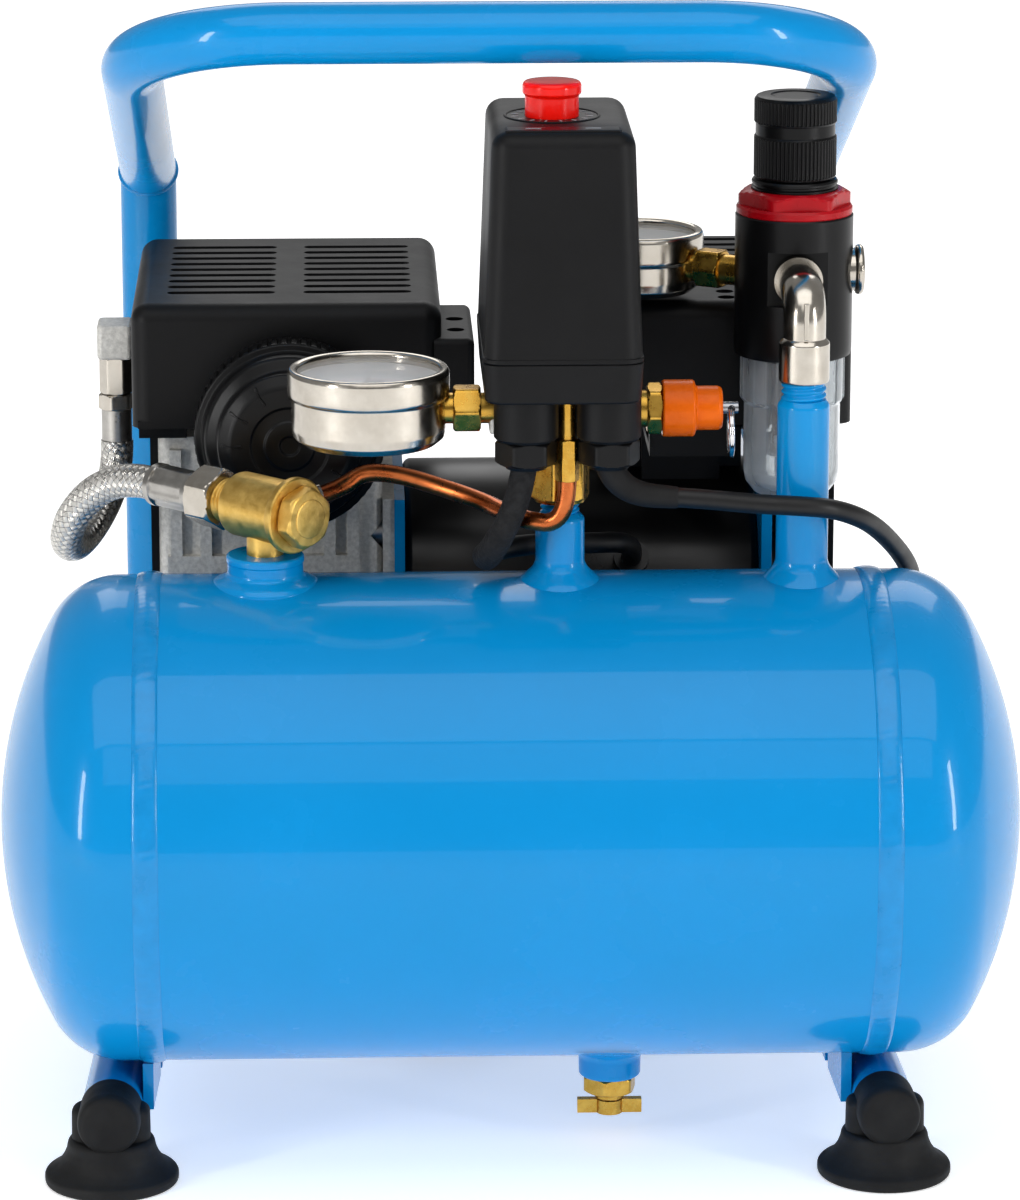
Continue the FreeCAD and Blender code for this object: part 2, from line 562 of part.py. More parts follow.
CRANK_WEB = 10.0
SHAFT_SEAT = 0.02
pin_x = rod_left_x + ROD_WIDTH + PIN_GAP
web_x = pin_x + 5.0
shaft_left_x = web_x + 1.0
eccentric = rod(V(web_x, CRANK_Y, CRANK_Z), AX, 13.0, CRANK_WEB)
weight = rod(V(web_x, CRANK_Y, CRANK_Z), AX, 24.0, CRANK_WEB)
weight = weight.common(block((web_x, web_x + CRANK_WEB), (CRANK_Y - 24, CRANK_Y - 4),
                             (CRANK_Z - 24, CRANK_Z + 24)))
eccentric = eccentric.fuse([weight, rod(V(pin_x, CRANK_Y + THROW, CRANK_Z), AX, PIN_R, 6.0)])
eccentric = eccentric.cut(rod(V(shaft_left_x, CRANK_Y, CRANK_Z), AX, SHAFT_R + SHAFT_SEAT, CRANK_WEB))
write("eccentric", eccentric)

FAN_X = MOTOR_RIGHT_X + UPRIGHT_SHEET + 2.0
FAN_WIDTH = 13.0
FAN_R = 40.0
write("motor_shaft", rod(V(shaft_left_x, CRANK_Y, CRANK_Z), AX, SHAFT_R,
                         FAN_X + FAN_WIDTH + 1.5 - shaft_left_x))

END_WALL = 3.0
case_bearing_x = FLANGE_X - CASE_WALL + 0.5
bearing_places = [case_bearing_x, MOTOR_LEFT_X + END_WALL, MOTOR_RIGHT_X - END_WALL - BEARING_WIDTH]
write("bearings", *[ring(V(x, CRANK_Y, CRANK_Z), AX, BEARING_R, SHAFT_R + RUN_GAP, BEARING_WIDTH)
                    for x in bearing_places])

AIR_GAP = 0.4
ROTOR_R = 26.6
STACK_X = (MOTOR_LEFT_X + 28.0, MOTOR_RIGHT_X - 28.0)
stack_length = STACK_X[1] - STACK_X[0]
MOTOR_WALL = 2.0
write("rotor", ring(V(STACK_X[0], CRANK_Y, CRANK_Z), AX, ROTOR_R, SHAFT_R + SHAFT_SEAT, stack_length))
stator = ring(V(STACK_X[0], CRANK_Y, CRANK_Z), AX, MOTOR_R - MOTOR_WALL - SEAT_GAP,
              ROTOR_R + AIR_GAP, stack_length)
windings = [ring(V(x, CRANK_Y, CRANK_Z), AX, MOTOR_R - 7, ROTOR_R + 3, 15)
            for x in (STACK_X[0] - 15, STACK_X[1])]
write("stator", stator.fuse(windings))

housing = rod(V(MOTOR_LEFT_X, CRANK_Y, CRANK_Z), AX, MOTOR_R, MOTOR_LENGTH)
housing = housing.makeFillet(3.0, [e for e in housing.Edges if e.Length > 2 * math.pi * MOTOR_R - 1
                                   and abs(e.BoundBox.XLength) < 0.01])
housing = housing.cut(rod(V(MOTOR_LEFT_X + END_WALL, CRANK_Y, CRANK_Z), AX, MOTOR_R - MOTOR_WALL,
                          MOTOR_LENGTH - 2 * END_WALL))
housing = housing.cut(rod(V(MOTOR_LEFT_X, CRANK_Y, CRANK_Z), AX, SHAFT_R + 2, MOTOR_LENGTH))
for cup_x in bearing_places[1:]:
    housing = housing.fuse(ring(V(cup_x, CRANK_Y, CRANK_Z), AX, BEARING_R + 3,
                                BEARING_R + SEAT_GAP, BEARING_WIDTH))
LEAD_ANGLE = math.radians(60)
motor_gland_normal = V(0, -math.sin(LEAD_ANGLE), math.cos(LEAD_ANGLE))
MOTOR_GLAND_X = 44.0
MOTOR_GLAND_REACH = 4.0
gland_root = V(MOTOR_GLAND_X, CRANK_Y, CRANK_Z) + motor_gland_normal * (MOTOR_R - 1.0)
gland = rod(gland_root, motor_gland_normal, MOTOR_LEAD_R + 2.5, MOTOR_GLAND_REACH + 1.0)
write("motor_housing", housing.fuse(gland))

fan = rod(V(FAN_X, CRANK_Y, CRANK_Z), AX, 9.0, FAN_WIDTH)
fan = fan.fuse(rod(V(FAN_X, CRANK_Y, CRANK_Z), AX, FAN_R - 2, 1.6))
for k in range(9):
    blade = block((FAN_X, FAN_X + FAN_WIDTH), (CRANK_Y - 0.8, CRANK_Y + 0.8),
                  (CRANK_Z + 8.0, CRANK_Z + FAN_R))
    blade.rotate(V(FAN_X, CRANK_Y, CRANK_Z), AX, 40 * k)
    fan = fan.fuse(blade)
write("cooling_fan", fan.cut(rod(V(FAN_X, CRANK_Y, CRANK_Z), AX, SHAFT_R + SHAFT_SEAT, FAN_WIDTH)))

# ---------------------------------------------------------------- covers
SLOT_COUNT = 9
SLOT_PITCH = 10.0
SLOT_WIDTH = 4.5
SIDE_SHEET = 2.6
LEDGE_H = 2.5
SIDE_BOTTOM_Z = CRADLE_Z + CRADLE_SHEET + 2.0
SIDE_FRONT_Y = 82.5
SIDE_BACK_Y = 180.0
STEP_BOX = dict(x=11.0, y=60.0, drop=12.0)
shroud_back_y = SHROUD_FRONT_Y + SHROUD_DEPTH
LEFT_SHROUD_X = -125.0
RIGHT_SHROUD_X = 13.0


def vent_slots(x, first_y):
    """One group of slots: round-ended, along X, one behind the other."""
    slots = []
    for k in range(SLOT_COUNT):
        y = first_y + k * SLOT_PITCH
        middle = block((x[0], x[1]), (y, y + SLOT_WIDTH), (SHROUD_TOP_Z - 10, SHROUD_TOP_Z + 1))
        ends = [rod(V(end, y + SLOT_WIDTH / 2, SHROUD_TOP_Z - 10), AZ, SLOT_WIDTH / 2, 11) for end in x]
        slots.append(middle.fuse(ends))
    return slots


def hood(x):
    """A rounded box, open below."""
    outer = rounded_block((x, x + SHROUD_LENGTH), (SHROUD_FRONT_Y, shroud_back_y),
                          (SHROUD_BOTTOM_Z, SHROUD_TOP_Z), 6.0)
    inner = rounded_block((x + SHROUD_WALL, x + SHROUD_LENGTH - SHROUD_WALL),
                          (SHROUD_FRONT_Y + SHROUD_WALL, shroud_back_y - SHROUD_WALL),
                          (SHROUD_BOTTOM_Z - 1, SHROUD_TOP_Z - SHROUD_WALL), 3.5)
    return outer.cut(inner)


def side_sheet(outer_x, inner_x):
    """The deep side wall that hangs from the hood over the pump's end, with vents."""
    low, high = sorted((outer_x, inner_x))
    wall = block((low, high), (SIDE_FRONT_Y, SIDE_BACK_Y), (SIDE_BOTTOM_Z, SHROUD_BOTTOM_Z + LEDGE_H))
    for k in range(6):
        z = CRANK_Z - 30 + 11.0 * k
        wall = wall.cut(block((low, high), (CRANK_Y - 30, CRANK_Y + 30), (z, z + 5)))
    return wall


left_hood = hood(LEFT_SHROUD_X)
step_x = LEFT_SHROUD_X + SHROUD_LENGTH
step = rounded_block((step_x - 8, step_x + STEP_BOX["x"]),
                     (SHROUD_FRONT_Y, SHROUD_FRONT_Y + STEP_BOX["y"]),
                     (SHROUD_BOTTOM_Z + 2, SHROUD_TOP_Z - STEP_BOX["drop"]), 2.5)
step_room = block((step_x - 9, step_x + STEP_BOX["x"] - SHROUD_WALL),
                  (SHROUD_FRONT_Y + SHROUD_WALL, SHROUD_FRONT_Y + STEP_BOX["y"] - SHROUD_WALL),
                  (SHROUD_BOTTOM_Z, SHROUD_TOP_Z - STEP_BOX["drop"] - SHROUD_WALL))
hood_room = block((LEFT_SHROUD_X, step_x - SHROUD_WALL), (SHROUD_FRONT_Y, shroud_back_y),
                  (SHROUD_BOTTOM_Z, SHROUD_TOP_Z))
left_hood = left_hood.fuse(step.cut(step_room).cut(hood_room))
for oval_y in (SHROUD_FRONT_Y + 16, SHROUD_FRONT_Y + 34):
    oval = rod(V(step_x + 5, oval_y, SHROUD_TOP_Z - 20), AZ, 3.0, 12)
    left_hood = left_hood.cut(oval)
SLOT_START_Y = SHROUD_FRONT_Y + 20
for slot_x in ((LEFT_SHROUD_X + 14, LEFT_SHROUD_X + 46), (LEFT_SHROUD_X + 60, LEFT_SHROUD_X + 92)):
    for slot in vent_slots(slot_x, SLOT_START_Y):
        left_hood = left_hood.cut(slot)
left_wall = side_sheet(CRANKCASE_LEFT_X - SEAT_GAP - SIDE_SHEET, CRANKCASE_LEFT_X - SEAT_GAP)
left_ledge = block((LEFT_SHROUD_X, CRANKCASE_LEFT_X - SEAT_GAP), (SIDE_FRONT_Y, SIDE_BACK_Y),
                   (SHROUD_BOTTOM_Z, SHROUD_BOTTOM_Z + LEDGE_H))
left_tab = block((LEFT_SHROUD_X + 2, LEFT_SHROUD_X + 18), (SHROUD_FRONT_Y + 8, SHROUD_FRONT_Y + 14),
                 (SHROUD_BOTTOM_Z - 5, SHROUD_BOTTOM_Z + 6))
left_tab = left_tab.fuse(block((LEFT_SHROUD_X + 2, LEFT_SHROUD_X + 18),
                               (SHROUD_FRONT_Y, SHROUD_FRONT_Y + 14),
                               (SHROUD_BOTTOM_Z, SHROUD_BOTTOM_Z + LEDGE_H)))
shroud_left = left_hood.fuse([left_wall, left_ledge, left_tab])
shroud_left = shroud_left.cut(rod(V(LEFT_SHROUD_X - 1, HEAD_PORT_Y, HEAD_PORT_Z), AX, SPIGOT_R + 1, 10))
NECK_R = 8.0
shroud_left = shroud_left.cut(rod(V(FILTER_X, SHROUD_FRONT_Y - 1, INTAKE_Z), AY, NECK_R + 0.5, 8))
write("shroud_left", shroud_left)

right_hood = hood(RIGHT_SHROUD_X)
for slot_x in ((RIGHT_SHROUD_X + 10, RIGHT_SHROUD_X + 42), (RIGHT_SHROUD_X + 62, RIGHT_SHROUD_X + 94)):
    for slot in vent_slots(slot_x, SLOT_START_Y + 10):
        right_hood = right_hood.cut(slot)
for oval_y in (SHROUD_FRONT_Y + 9, SHROUD_FRONT_Y + 19):
    right_hood = right_hood.cut(rod(V(RIGHT_SHROUD_X + 62, oval_y, SHROUD_TOP_Z - 10), AZ, 3.0, 12))
right_hood_x = RIGHT_SHROUD_X + SHROUD_LENGTH
side_x = FAN_X + FAN_WIDTH + 4.0
right_wall = side_sheet(side_x, side_x + SIDE_SHEET)
right_ledge = block((side_x, right_hood_x), (SIDE_FRONT_Y, SIDE_BACK_Y),
                    (SHROUD_BOTTOM_Z, SHROUD_BOTTOM_Z + LEDGE_H))
TAB_X = (49.0, 76.0)
tab = rounded_block(TAB_X, (SHROUD_FRONT_Y + 1, SHROUD_FRONT_Y + 9),
                    (SHROUD_BOTTOM_Z - 11, SHROUD_BOTTOM_Z + 3), 1.5)
foot_back_y = CRANK_Y - 14
tab_foot = block(TAB_X, (SHROUD_FRONT_Y + 1, foot_back_y), (SHROUD_BOTTOM_Z - 11, SHROUD_BOTTOM_Z - 8))
saddle = block(TAB_X, (foot_back_y - 3, foot_back_y), (CRANK_Z + 30, SHROUD_BOTTOM_Z - 8))
motor_space = rod(V(MOTOR_LEFT_X, CRANK_Y, CRANK_Z), AX, MOTOR_R + SEAT_GAP, MOTOR_LENGTH)
right_solid = right_hood.fuse([right_wall, right_ledge, tab, tab_foot, saddle.cut(motor_space)])
write("shroud_right", right_solid)

FILTER_FRONT_Y = 37.0
FILTER_BACK_Y = 62.0
FILTER_WALL = 2.0
filter_depth = FILTER_BACK_Y - FILTER_FRONT_Y
can = turned([(0, 0), (20, 0), (24, 2.5), (24, 7), (28, 9), (29, 13), (FILTER_R, 14),
              (FILTER_R, filter_depth), (0, filter_depth)], V(FILTER_X, FILTER_FRONT_Y, FILTER_Z), AY)
can = can.cut(turned([(0, FILTER_WALL), (19, FILTER_WALL), (22, 4.5), (22, 9), (26, 11), (27, 15),
                      (FILTER_R - 2.5, 16), (FILTER_R - 2.5, filter_depth - FILTER_WALL),
                      (0, filter_depth - FILTER_WALL)], V(FILTER_X, FILTER_FRONT_Y, FILTER_Z), AY))
neck = rod(V(FILTER_X, FILTER_BACK_Y - 1, INTAKE_Z), AY, NECK_R, head_front_y - FILTER_BACK_Y + 1)
can = can.fuse(neck).cut(rod(V(FILTER_X, FILTER_BACK_Y - 5, INTAKE_Z), AY, 4.5, 60))
for k in range(10):
    angle = math.radians(36 * k)
    hole = V(FILTER_X + 30.2 * math.cos(angle), FILTER_FRONT_Y + 10, FILTER_Z + 30.2 * math.sin(angle))
    can = can.cut(rod(hole, AY, 0.9, 8))
write("filter_housing", can)
element_y = FILTER_FRONT_Y + 17.0
write("filter_element", ring(V(FILTER_X, element_y, FILTER_Z), AY, FILTER_R - 3.0, 12.0,
                             FILTER_BACK_Y - FILTER_WALL - element_y - 0.2).cut(
    rod(V(FILTER_X, element_y, INTAKE_Z), AY, 5.0, 10)))

CAPACITOR_R = 15.0
capacitor_z = CRANK_Z + MOTOR_R + 26.0
capacitor = rod(V(34, CRANK_Y, capacitor_z), AX, CAPACITOR_R, 60)
capacitor_foot = block((44, 84), (CRANK_Y - 9, CRANK_Y + 9), (CRANK_Z + MOTOR_R - 4, capacitor_z - 8))
write("run_capacitor", capacitor.fuse(capacitor_foot.cut(motor_space)))

# ---------------------------------------------------------------- discharge line
turn = math.radians(VALVE_TURN)
valve_axis = V(math.cos(turn), -math.sin(turn), 0)
side_axis = V(math.sin(turn), math.cos(turn), 0)
valve_centre = V(INLET_X, 0, VALVE_Z)


def on_valve(s):
    return valve_centre + valve_axis * s


VALVE_BORE_R = 5.0
INLET_THREAD_R = 7.5
BODY_R = 10.5
HOSE_NUT = (-29.0, -18.0)
FERRULE_END = -51.0
INLET_END = -21.0
valve_body = rod(on_valve(INLET_END), valve_axis, INLET_THREAD_R, -INLET_END)
valve_body = valve_body.fuse(rod(on_valve(-11), valve_axis, BODY_R, 23))
valve_body = valve_body.fuse(rod(V(INLET_X, 0, TANK_TOP_Z + 0.5), AZ, VALVE_STEM_R, VALVE_Z - TANK_TOP_Z))
SIDE_PORT_END = 15.0
valve_body = valve_body.fuse(rod(valve_centre, side_axis, 4.5, SIDE_PORT_END))
valve_body = valve_body.cut(rod(on_valve(INLET_END), valve_axis, VALVE_BORE_R, 10 - INLET_END))
valve_body = valve_body.cut(rod(V(INLET_X, 0, TANK_TOP_Z), AZ, 3.5, VALVE_Z - TANK_TOP_Z))
plug = rod(on_valve(10 + SEAT_GAP), valve_axis, VALVE_BORE_R - SEAT_GAP, 2)
valve_body = valve_body.cut(rod(on_valve(10), valve_axis, VALVE_BORE_R, 3))
plug = plug.fuse([rod(on_valve(12), valve_axis, 12.5, 3), hexagon(on_valve(15), valve_axis, 18.0, 6.0, 30)])
write("check_valve_body", valve_body, plug)

poppet_seat = -6.0
poppet = rod(on_valve(poppet_seat), valve_axis, VALVE_BORE_R - SEAT_GAP, 5.0)
poppet = poppet.fuse(rod(on_valve(poppet_seat + 5), valve_axis, 2.5, 6.0))
write("check_valve_poppet", poppet)

BLOCK_H = 12.0
block_z = HEAD_PORT_Z - BLOCK_H / 2
hose_x = OUTLET_BLOCK_X + OUTLET_BLOCK_W / 2
outlet_block = rounded_block((OUTLET_BLOCK_X, OUTLET_BLOCK_X + OUTLET_BLOCK_W),
                             (HEAD_PORT_Y - 8, HEAD_PORT_Y + 8), (block_z, block_z + BLOCK_H), 2.5)
outlet_block = outlet_block.cut(rod(V(hose_x, HEAD_PORT_Y, HEAD_PORT_Z), AX, 3.0, 20))
outlet_block = outlet_block.cut(rod(V(hose_x, HEAD_PORT_Y, HEAD_PORT_Z + 3), AZ * -1, 3.0, 20))
top_down = AZ * -1
TOP_NUT = 13.0
TOP_LOCK_NUT = 5.5
TOP_FERRULE = 11.0


def piece_down(z, shape_r, length, hexed=False):
    start = V(hose_x, HEAD_PORT_Y, z)
    solid = hexagon(start, top_down, 2 * shape_r, length) if hexed else rod(start, top_down, shape_r, length)
    return solid.cut(rod(start, top_down, 3.0, length))


lock_z = block_z - TOP_NUT
ferrule_z = lock_z - TOP_LOCK_NUT
top_fittings = [piece_down(block_z, 5.0, TOP_NUT, True), piece_down(lock_z, 5.5, TOP_LOCK_NUT, True),
                piece_down(ferrule_z, 5.2, TOP_FERRULE)]
near_nut = hexagon(on_valve(HOSE_NUT[0]), valve_axis, 18.5, HOSE_NUT[1] - HOSE_NUT[0])
near_nut = near_nut.cut(rod(on_valve(INLET_END - SEAT_GAP), valve_axis, INLET_THREAD_R + SEAT_GAP, 20))
near_nut = near_nut.cut(rod(on_valve(-30), valve_axis, 4.0, 20))
ferrule = ring(on_valve(FERRULE_END), valve_axis, 7.2, 4.0, HOSE_NUT[0] - FERRULE_END)
write("hose_fittings", outlet_block, *top_fittings, near_nut, ferrule)

hose_end = on_valve(FERRULE_END)
hose_route = [V(hose_x, HEAD_PORT_Y, ferrule_z - TOP_FERRULE), V(hose_x, HEAD_PORT_Y, 207.0),
              V(-135.6, 107.5, 196.5), V(-141.0, 98.0, 188.5), V(-146.0, 85.0, 185.5),
              V(-148.5, 71.5, 190.5), V(-146.0, 61.0, 201.5), V(-138.0, 54.0, 212.5),
              hose_end - valve_axis * 14.0, hose_end]
write("discharge_hose", cord("discharge_hose", hose_route, HOSE_R))

UNLOADER = V(17.75, -14.0, 231.0)
UNLOADER_NUT_H = 13.8
tube_start = valve_centre + side_axis * 22.0
copper_route = [tube_start, valve_centre + side_axis * 34.0, V(-45.0, 26.0, 227.0), V(-10.0, 11.0, 219.0),
                V(2.0, -9.0, 217.0), V(UNLOADER.x, UNLOADER.y, 216.0), UNLOADER]
write("copper_tube", cord("copper_tube", copper_route, COPPER_R))

UNION_AF = 17.5
union_z = PIPE_SHOULDER_Z + 5.0
UNION_H = 14.0
union_nut = hexagon(V(PIPE_X, 0, union_z), AZ, UNION_AF, UNION_H, 30)
union_nut = union_nut.cut(rod(V(PIPE_X, 0, union_z), AZ, PIPE_NECK_R + SEAT_GAP, UNION_H))
small_nut = hexagon(UNLOADER, AZ, 7.0, UNLOADER_NUT_H, 0)
side_nut = hexagon(valve_centre + side_axis * SIDE_PORT_END, side_axis, 11.0, 7.0)
unloader_stub = rod(UNLOADER + AZ * UNLOADER_NUT_H, AZ, 2.6, SWITCH_BOTTOM_Z - UNLOADER.z - UNLOADER_NUT_H)
write("tube_nuts", union_nut, small_nut.fuse(unloader_stub), side_nut)

# ---------------------------------------------------------------- pressure switch
GLANDS_X = (4.5, 31.0)
GLAND_Y = -15.0
GLAND_BOSS_R = 10.5
GLAND_Z = 245.0
GLAND_NUT_H = 8.0
GLAND_MOUTH_H = 2.6
RELIEF_THREAD_R = 6.0
LINE_Z = 251.5
COVER_WALL = 2.0
switch_centre = V(PIPE_X, SWITCH_Y, 0)


def switch_section(width, depth, radius, z):
    return rounded_outline(width, depth, radius, switch_centre + AZ * z)


def switch_loft(shrink, low_z, high_z, edge):
    """The cover's tapered block, its walls moved in by shrink, with a bevelled top edge."""
    sections = [switch_section(SWITCH_WIDTH - 2 * shrink, SWITCH_DEPTH - 2 * shrink, 6.0, low_z),
                switch_section(SWITCH_WIDTH - 5.5 - 2 * shrink, SWITCH_DEPTH - 4.5 - 2 * shrink, 6.0,
                               high_z - edge),
                switch_section(SWITCH_WIDTH - 5.5 - 2 * shrink - 2 * edge,
                               SWITCH_DEPTH - 4.5 - 2 * shrink - 2 * edge, 5.0, high_z)]
    return Part.makeLoft(sections, True, True)


base = Part.makeLoft([switch_section(SWITCH_WIDTH - 1, SWITCH_DEPTH - 1, 6.0, SWITCH_BOTTOM_Z),
                      switch_section(SWITCH_WIDTH + 0.6, SWITCH_DEPTH + 0.6, 6.0, SWITCH_SEAM_Z)], True, True)
base_room = Part.makeLoft([switch_section(SWITCH_WIDTH - 6, SWITCH_DEPTH - 6, 4.0, z)
                           for z in (SWITCH_BOTTOM_Z + 3, SWITCH_SEAM_Z + 1)], True, True)
base = base.cut(base_room)
for gland_x in GLANDS_X:
    base = base.fuse(rod(V(gland_x, GLAND_Y, GLAND_Z), AZ, GLAND_BOSS_R, SWITCH_BOTTOM_Z - GLAND_Z + 1))
for gland_x in GLANDS_X:
    base = base.cut(rod(V(gland_x, GLAND_Y, GLAND_Z), AZ, 4.0, 25))
base = base.cut(rod(V(PIPE_X, 0, LINE_Z), AX, RELIEF_THREAD_R + SEAT_GAP, 30))
write("switch_base", base)

cover = switch_loft(0, SWITCH_SEAM_Z, SWITCH_TOP_Z, 3.0)
cover = cover.cut(switch_loft(COVER_WALL, SWITCH_SEAM_Z, SWITCH_TOP_Z - COVER_WALL, 2.5))
cover = cover.cut(rod(V(BUTTON_X, BUTTON_Y, SWITCH_TOP_Z - 10), AZ, BUTTON_R + SLIDE_GAP, 20))
write("switch_cover", cover)

BUTTON_STAND = 11.4
BUTTON_CAP_H = 3.9
button_bottom = SWITCH_TOP_Z - 16.0
cap_z = SWITCH_TOP_Z + BUTTON_STAND - BUTTON_CAP_H
button = turned([(0, button_bottom), (BUTTON_R, button_bottom), (BUTTON_R, cap_z), (BUTTON_R + 0.8, cap_z + 0.5),
                 (BUTTON_R + 0.8, cap_z + BUTTON_CAP_H - 0.6), (BUTTON_R + 0.2, cap_z + BUTTON_CAP_H),
                 (0, cap_z + BUTTON_CAP_H)], V(BUTTON_X, BUTTON_Y, 0), AZ)
write("switch_button", button)

contact_low_z = SWITCH_BOTTOM_Z + 3.0
contacts = block((PIPE_X - 19, PIPE_X + 19), (SWITCH_Y - 8, SWITCH_Y + 30), (contact_low_z, contact_low_z + 34))
post_z = button_bottom - BUTTON_TRAVEL - SLIDE_GAP
contacts = contacts.fuse(rod(V(BUTTON_X, BUTTON_Y, contact_low_z), AZ, 6.0, post_z - contact_low_z))
write("contact_block", contacts)

MANIFOLD = dict(x=(-7.0, 39.0), y=(-4.0, 28.0), z=(244.0, SWITCH_BOTTOM_Z))
manifold = block(MANIFOLD["x"], MANIFOLD["y"], MANIFOLD["z"])
manifold = manifold.fuse(hexagon(V(PIPE_X, 0, union_z + UNION_H), AZ, 14.0, 244.5 - union_z - UNION_H, 30))
boss_clear = [rod(V(x, GLAND_Y, GLAND_Z - 1), AZ, GLAND_BOSS_R + SEAT_GAP, 20) for x in GLANDS_X]
for solid in boss_clear + [rod(V(PIPE_X, 0, union_z), AZ, 3.5, 20)]:
    manifold = manifold.cut(solid)
gauge_screw_r = 4.8
manifold = manifold.cut(rod(V(MANIFOLD["x"][0], 0, TANK_GAUGE["stem_z"]), AX, gauge_screw_r + SEAT_GAP, 8))
manifold = manifold.cut(rod(V(MANIFOLD["x"][1], 0, LINE_Z), AX * -1, RELIEF_THREAD_R + SEAT_GAP, 8))
write("switch_manifold", manifold)

gland_nuts = []
for gland_x, lead_r in zip(GLANDS_X, (MOTOR_LEAD_R, LEAD_R)):
    mouth = V(gland_x, GLAND_Y, GLAND_Z - GLAND_NUT_H)
    nut = hexagon(mouth, AZ, 18.0, GLAND_NUT_H, 30).cut(rod(mouth, AZ, lead_r + 1.5, GLAND_MOUTH_H))
    gland_nuts.append(nut.cut(rod(mouth, AZ, lead_r + SEAT_GAP, GLAND_NUT_H)))
write("cable_glands", *gland_nuts)

# ---------------------------------------------------------------- gauges
DIAL_DROP = 8.0
LENS_DROP = 3.6
LENS_H = 1.8
NEEDLE_RISE = 1.0
NEEDLE_H = 0.8
ARBOR_R = 1.0


def gauge_case(g, target, length):
    """A drawn cup with a rolled rim; its stem and hex point level at target, the stem's
    end being length away from the gauge's middle."""
    r, h = g["r"], g["h"]
    middle = V(g["x"], g["y"], g["stem_z"])
    out = (V(target.x, target.y, g["stem_z"]) - middle).normalize()
    cup = turned([(0, 0), (r - 4.5, 0), (r - 1.6, 2.5), (r - 1.2, 5), (r - 1.2, h - 10), (r, h - 9),
                  (r, h - 1), (r - 1, h), (r - 3.2, h), (r - 3.2, h - 1.6), (r - 2.4, h - 1.8),
                  (r - 2.4, 3), (0, 3)], V(g["x"], g["y"], g["z"]), AZ)
    stem = rod(middle + out * (r - 2.0), out, gauge_screw_r, length - r + 2.0)
    nut = hexagon(middle + out * (r - 1.0), out, 14.0 if r > 24 else 12.0, 9.0, 30)
    return cup.fuse([stem, nut])


def gauge_dial(g):
    """The printed plate, and under it the arbor post and the curved pressure tube."""
    z = g["z"] + g["h"] - DIAL_DROP
    plate = ring(V(g["x"], g["y"], z), AZ, g["r"] - 2.4 - SEAT_GAP, ARBOR_R + RUN_GAP, 0.8)
    post = ring(V(g["x"], g["y"], g["z"] + 3), AZ, 4.0, ARBOR_R + RUN_GAP, z - g["z"] - 3)
    bow_z = g["z"] + 6.0
    bow = ring(V(g["x"], g["y"], bow_z), AZ, g["r"] - 8, g["r"] - 11, 4.0)
    bow = bow.cut(block((g["x"] - 40, g["x"]), (g["y"] - 40, g["y"]), (bow_z, bow_z + 4)))
    arm = block((g["x"] + 3, g["x"] + g["r"] - 9), (g["y"] - 2, g["y"] + 2), (bow_z, bow_z + 4))
    return plate.fuse(post).fuse(bow.fuse(arm))


def gauge_lens(g):
    return rod(V(g["x"], g["y"], g["z"] + g["h"] - LENS_DROP), AZ, g["r"] - 2.4 - SEAT_GAP, LENS_H)


def gauge_needle(g):
    """A pointer with a tail on a thin arbor, resting at the dial's zero."""
    z = g["z"] + g["h"] - DIAL_DROP + 0.8 + NEEDLE_RISE
    long_end, tail = g["r"] * 0.66, g["r"] * 0.24
    blade = Part.makePolygon([V(-tail, -1.3, 0), V(-tail, 1.3, 0), V(long_end, 0.35, 0),
                              V(long_end, -0.35, 0), V(-tail, -1.3, 0)])
    needle = Part.Face(blade).extrude(V(0, 0, NEEDLE_H))
    needle.rotate(V(), AZ, 225)
    needle.translate(V(g["x"], g["y"], z))
    arbor = rod(V(g["x"], g["y"], z - 6), AZ, ARBOR_R, 6 + NEEDLE_H)
    return needle.fuse([arbor, rod(V(g["x"], g["y"], z), AZ, 2.2, NEEDLE_H + 0.4)])


reg_centre = V(RISER_X, REG_Y, 0)
line_gauge_place = V(LINE_GAUGE["x"], LINE_GAUGE["y"], 0)
line_stem = (reg_centre - line_gauge_place).Length - REG_R + 5.0
write("gauge_cases", gauge_case(TANK_GAUGE, V(PIPE_X, 0, 0), MANIFOLD["x"][0] + 7.5 - TANK_GAUGE["x"]),
      gauge_case(LINE_GAUGE, reg_centre, line_stem))
write("gauge_dials", gauge_dial(TANK_GAUGE), gauge_dial(LINE_GAUGE))
write("gauge_lenses", gauge_lens(TANK_GAUGE), gauge_lens(LINE_GAUGE))
write("tank_gauge_needle", gauge_needle(TANK_GAUGE))
write("line_gauge_needle", gauge_needle(LINE_GAUGE))

# ---------------------------------------------------------------- safety relief valve
relief_x = MANIFOLD["x"][1]
HEX_X = relief_x + 5.0
COLLAR_X = HEX_X + 5.0
CAP_X = COLLAR_X + 10.5
CAP_END_X = CAP_X + 9.0
RELIEF_STEM_R = 2.0


def relief_at(x):
    return V(x, 0, LINE_Z)


relief_body = rod(relief_at(relief_x - 7), AX, RELIEF_THREAD_R, 13)
relief_body = relief_body.fuse([hexagon(relief_at(HEX_X), AX, 15.0, 5.0, 30),
                                rod(relief_at(COLLAR_X), AX, 6.5, 10.0)])
relief_body = relief_body.cut(rod(relief_at(relief_x - 7), AX, RELIEF_STEM_R + RUN_GAP, 40))
write("relief_valve_body", relief_body)
relief_cap = turned([(6.5 + SEAT_GAP, 0), (9.25, 0), (9.25, 10.5), (7.2, 10.7), (7.2, 18.5), (6.4, 19.5),
                     (RELIEF_STEM_R + RUN_GAP, 19.5), (RELIEF_STEM_R + RUN_GAP, 10.5), (6.5 + SEAT_GAP, 10.5)],
                    relief_at(COLLAR_X), AX)
write("relief_valve_cap", relief_cap)
EYE_X = CAP_END_X + 3.0
EYE_R = 1.2
stem = rod(relief_at(relief_x - 4), AX, RELIEF_STEM_R, EYE_X + 2.2 - relief_x + 4)
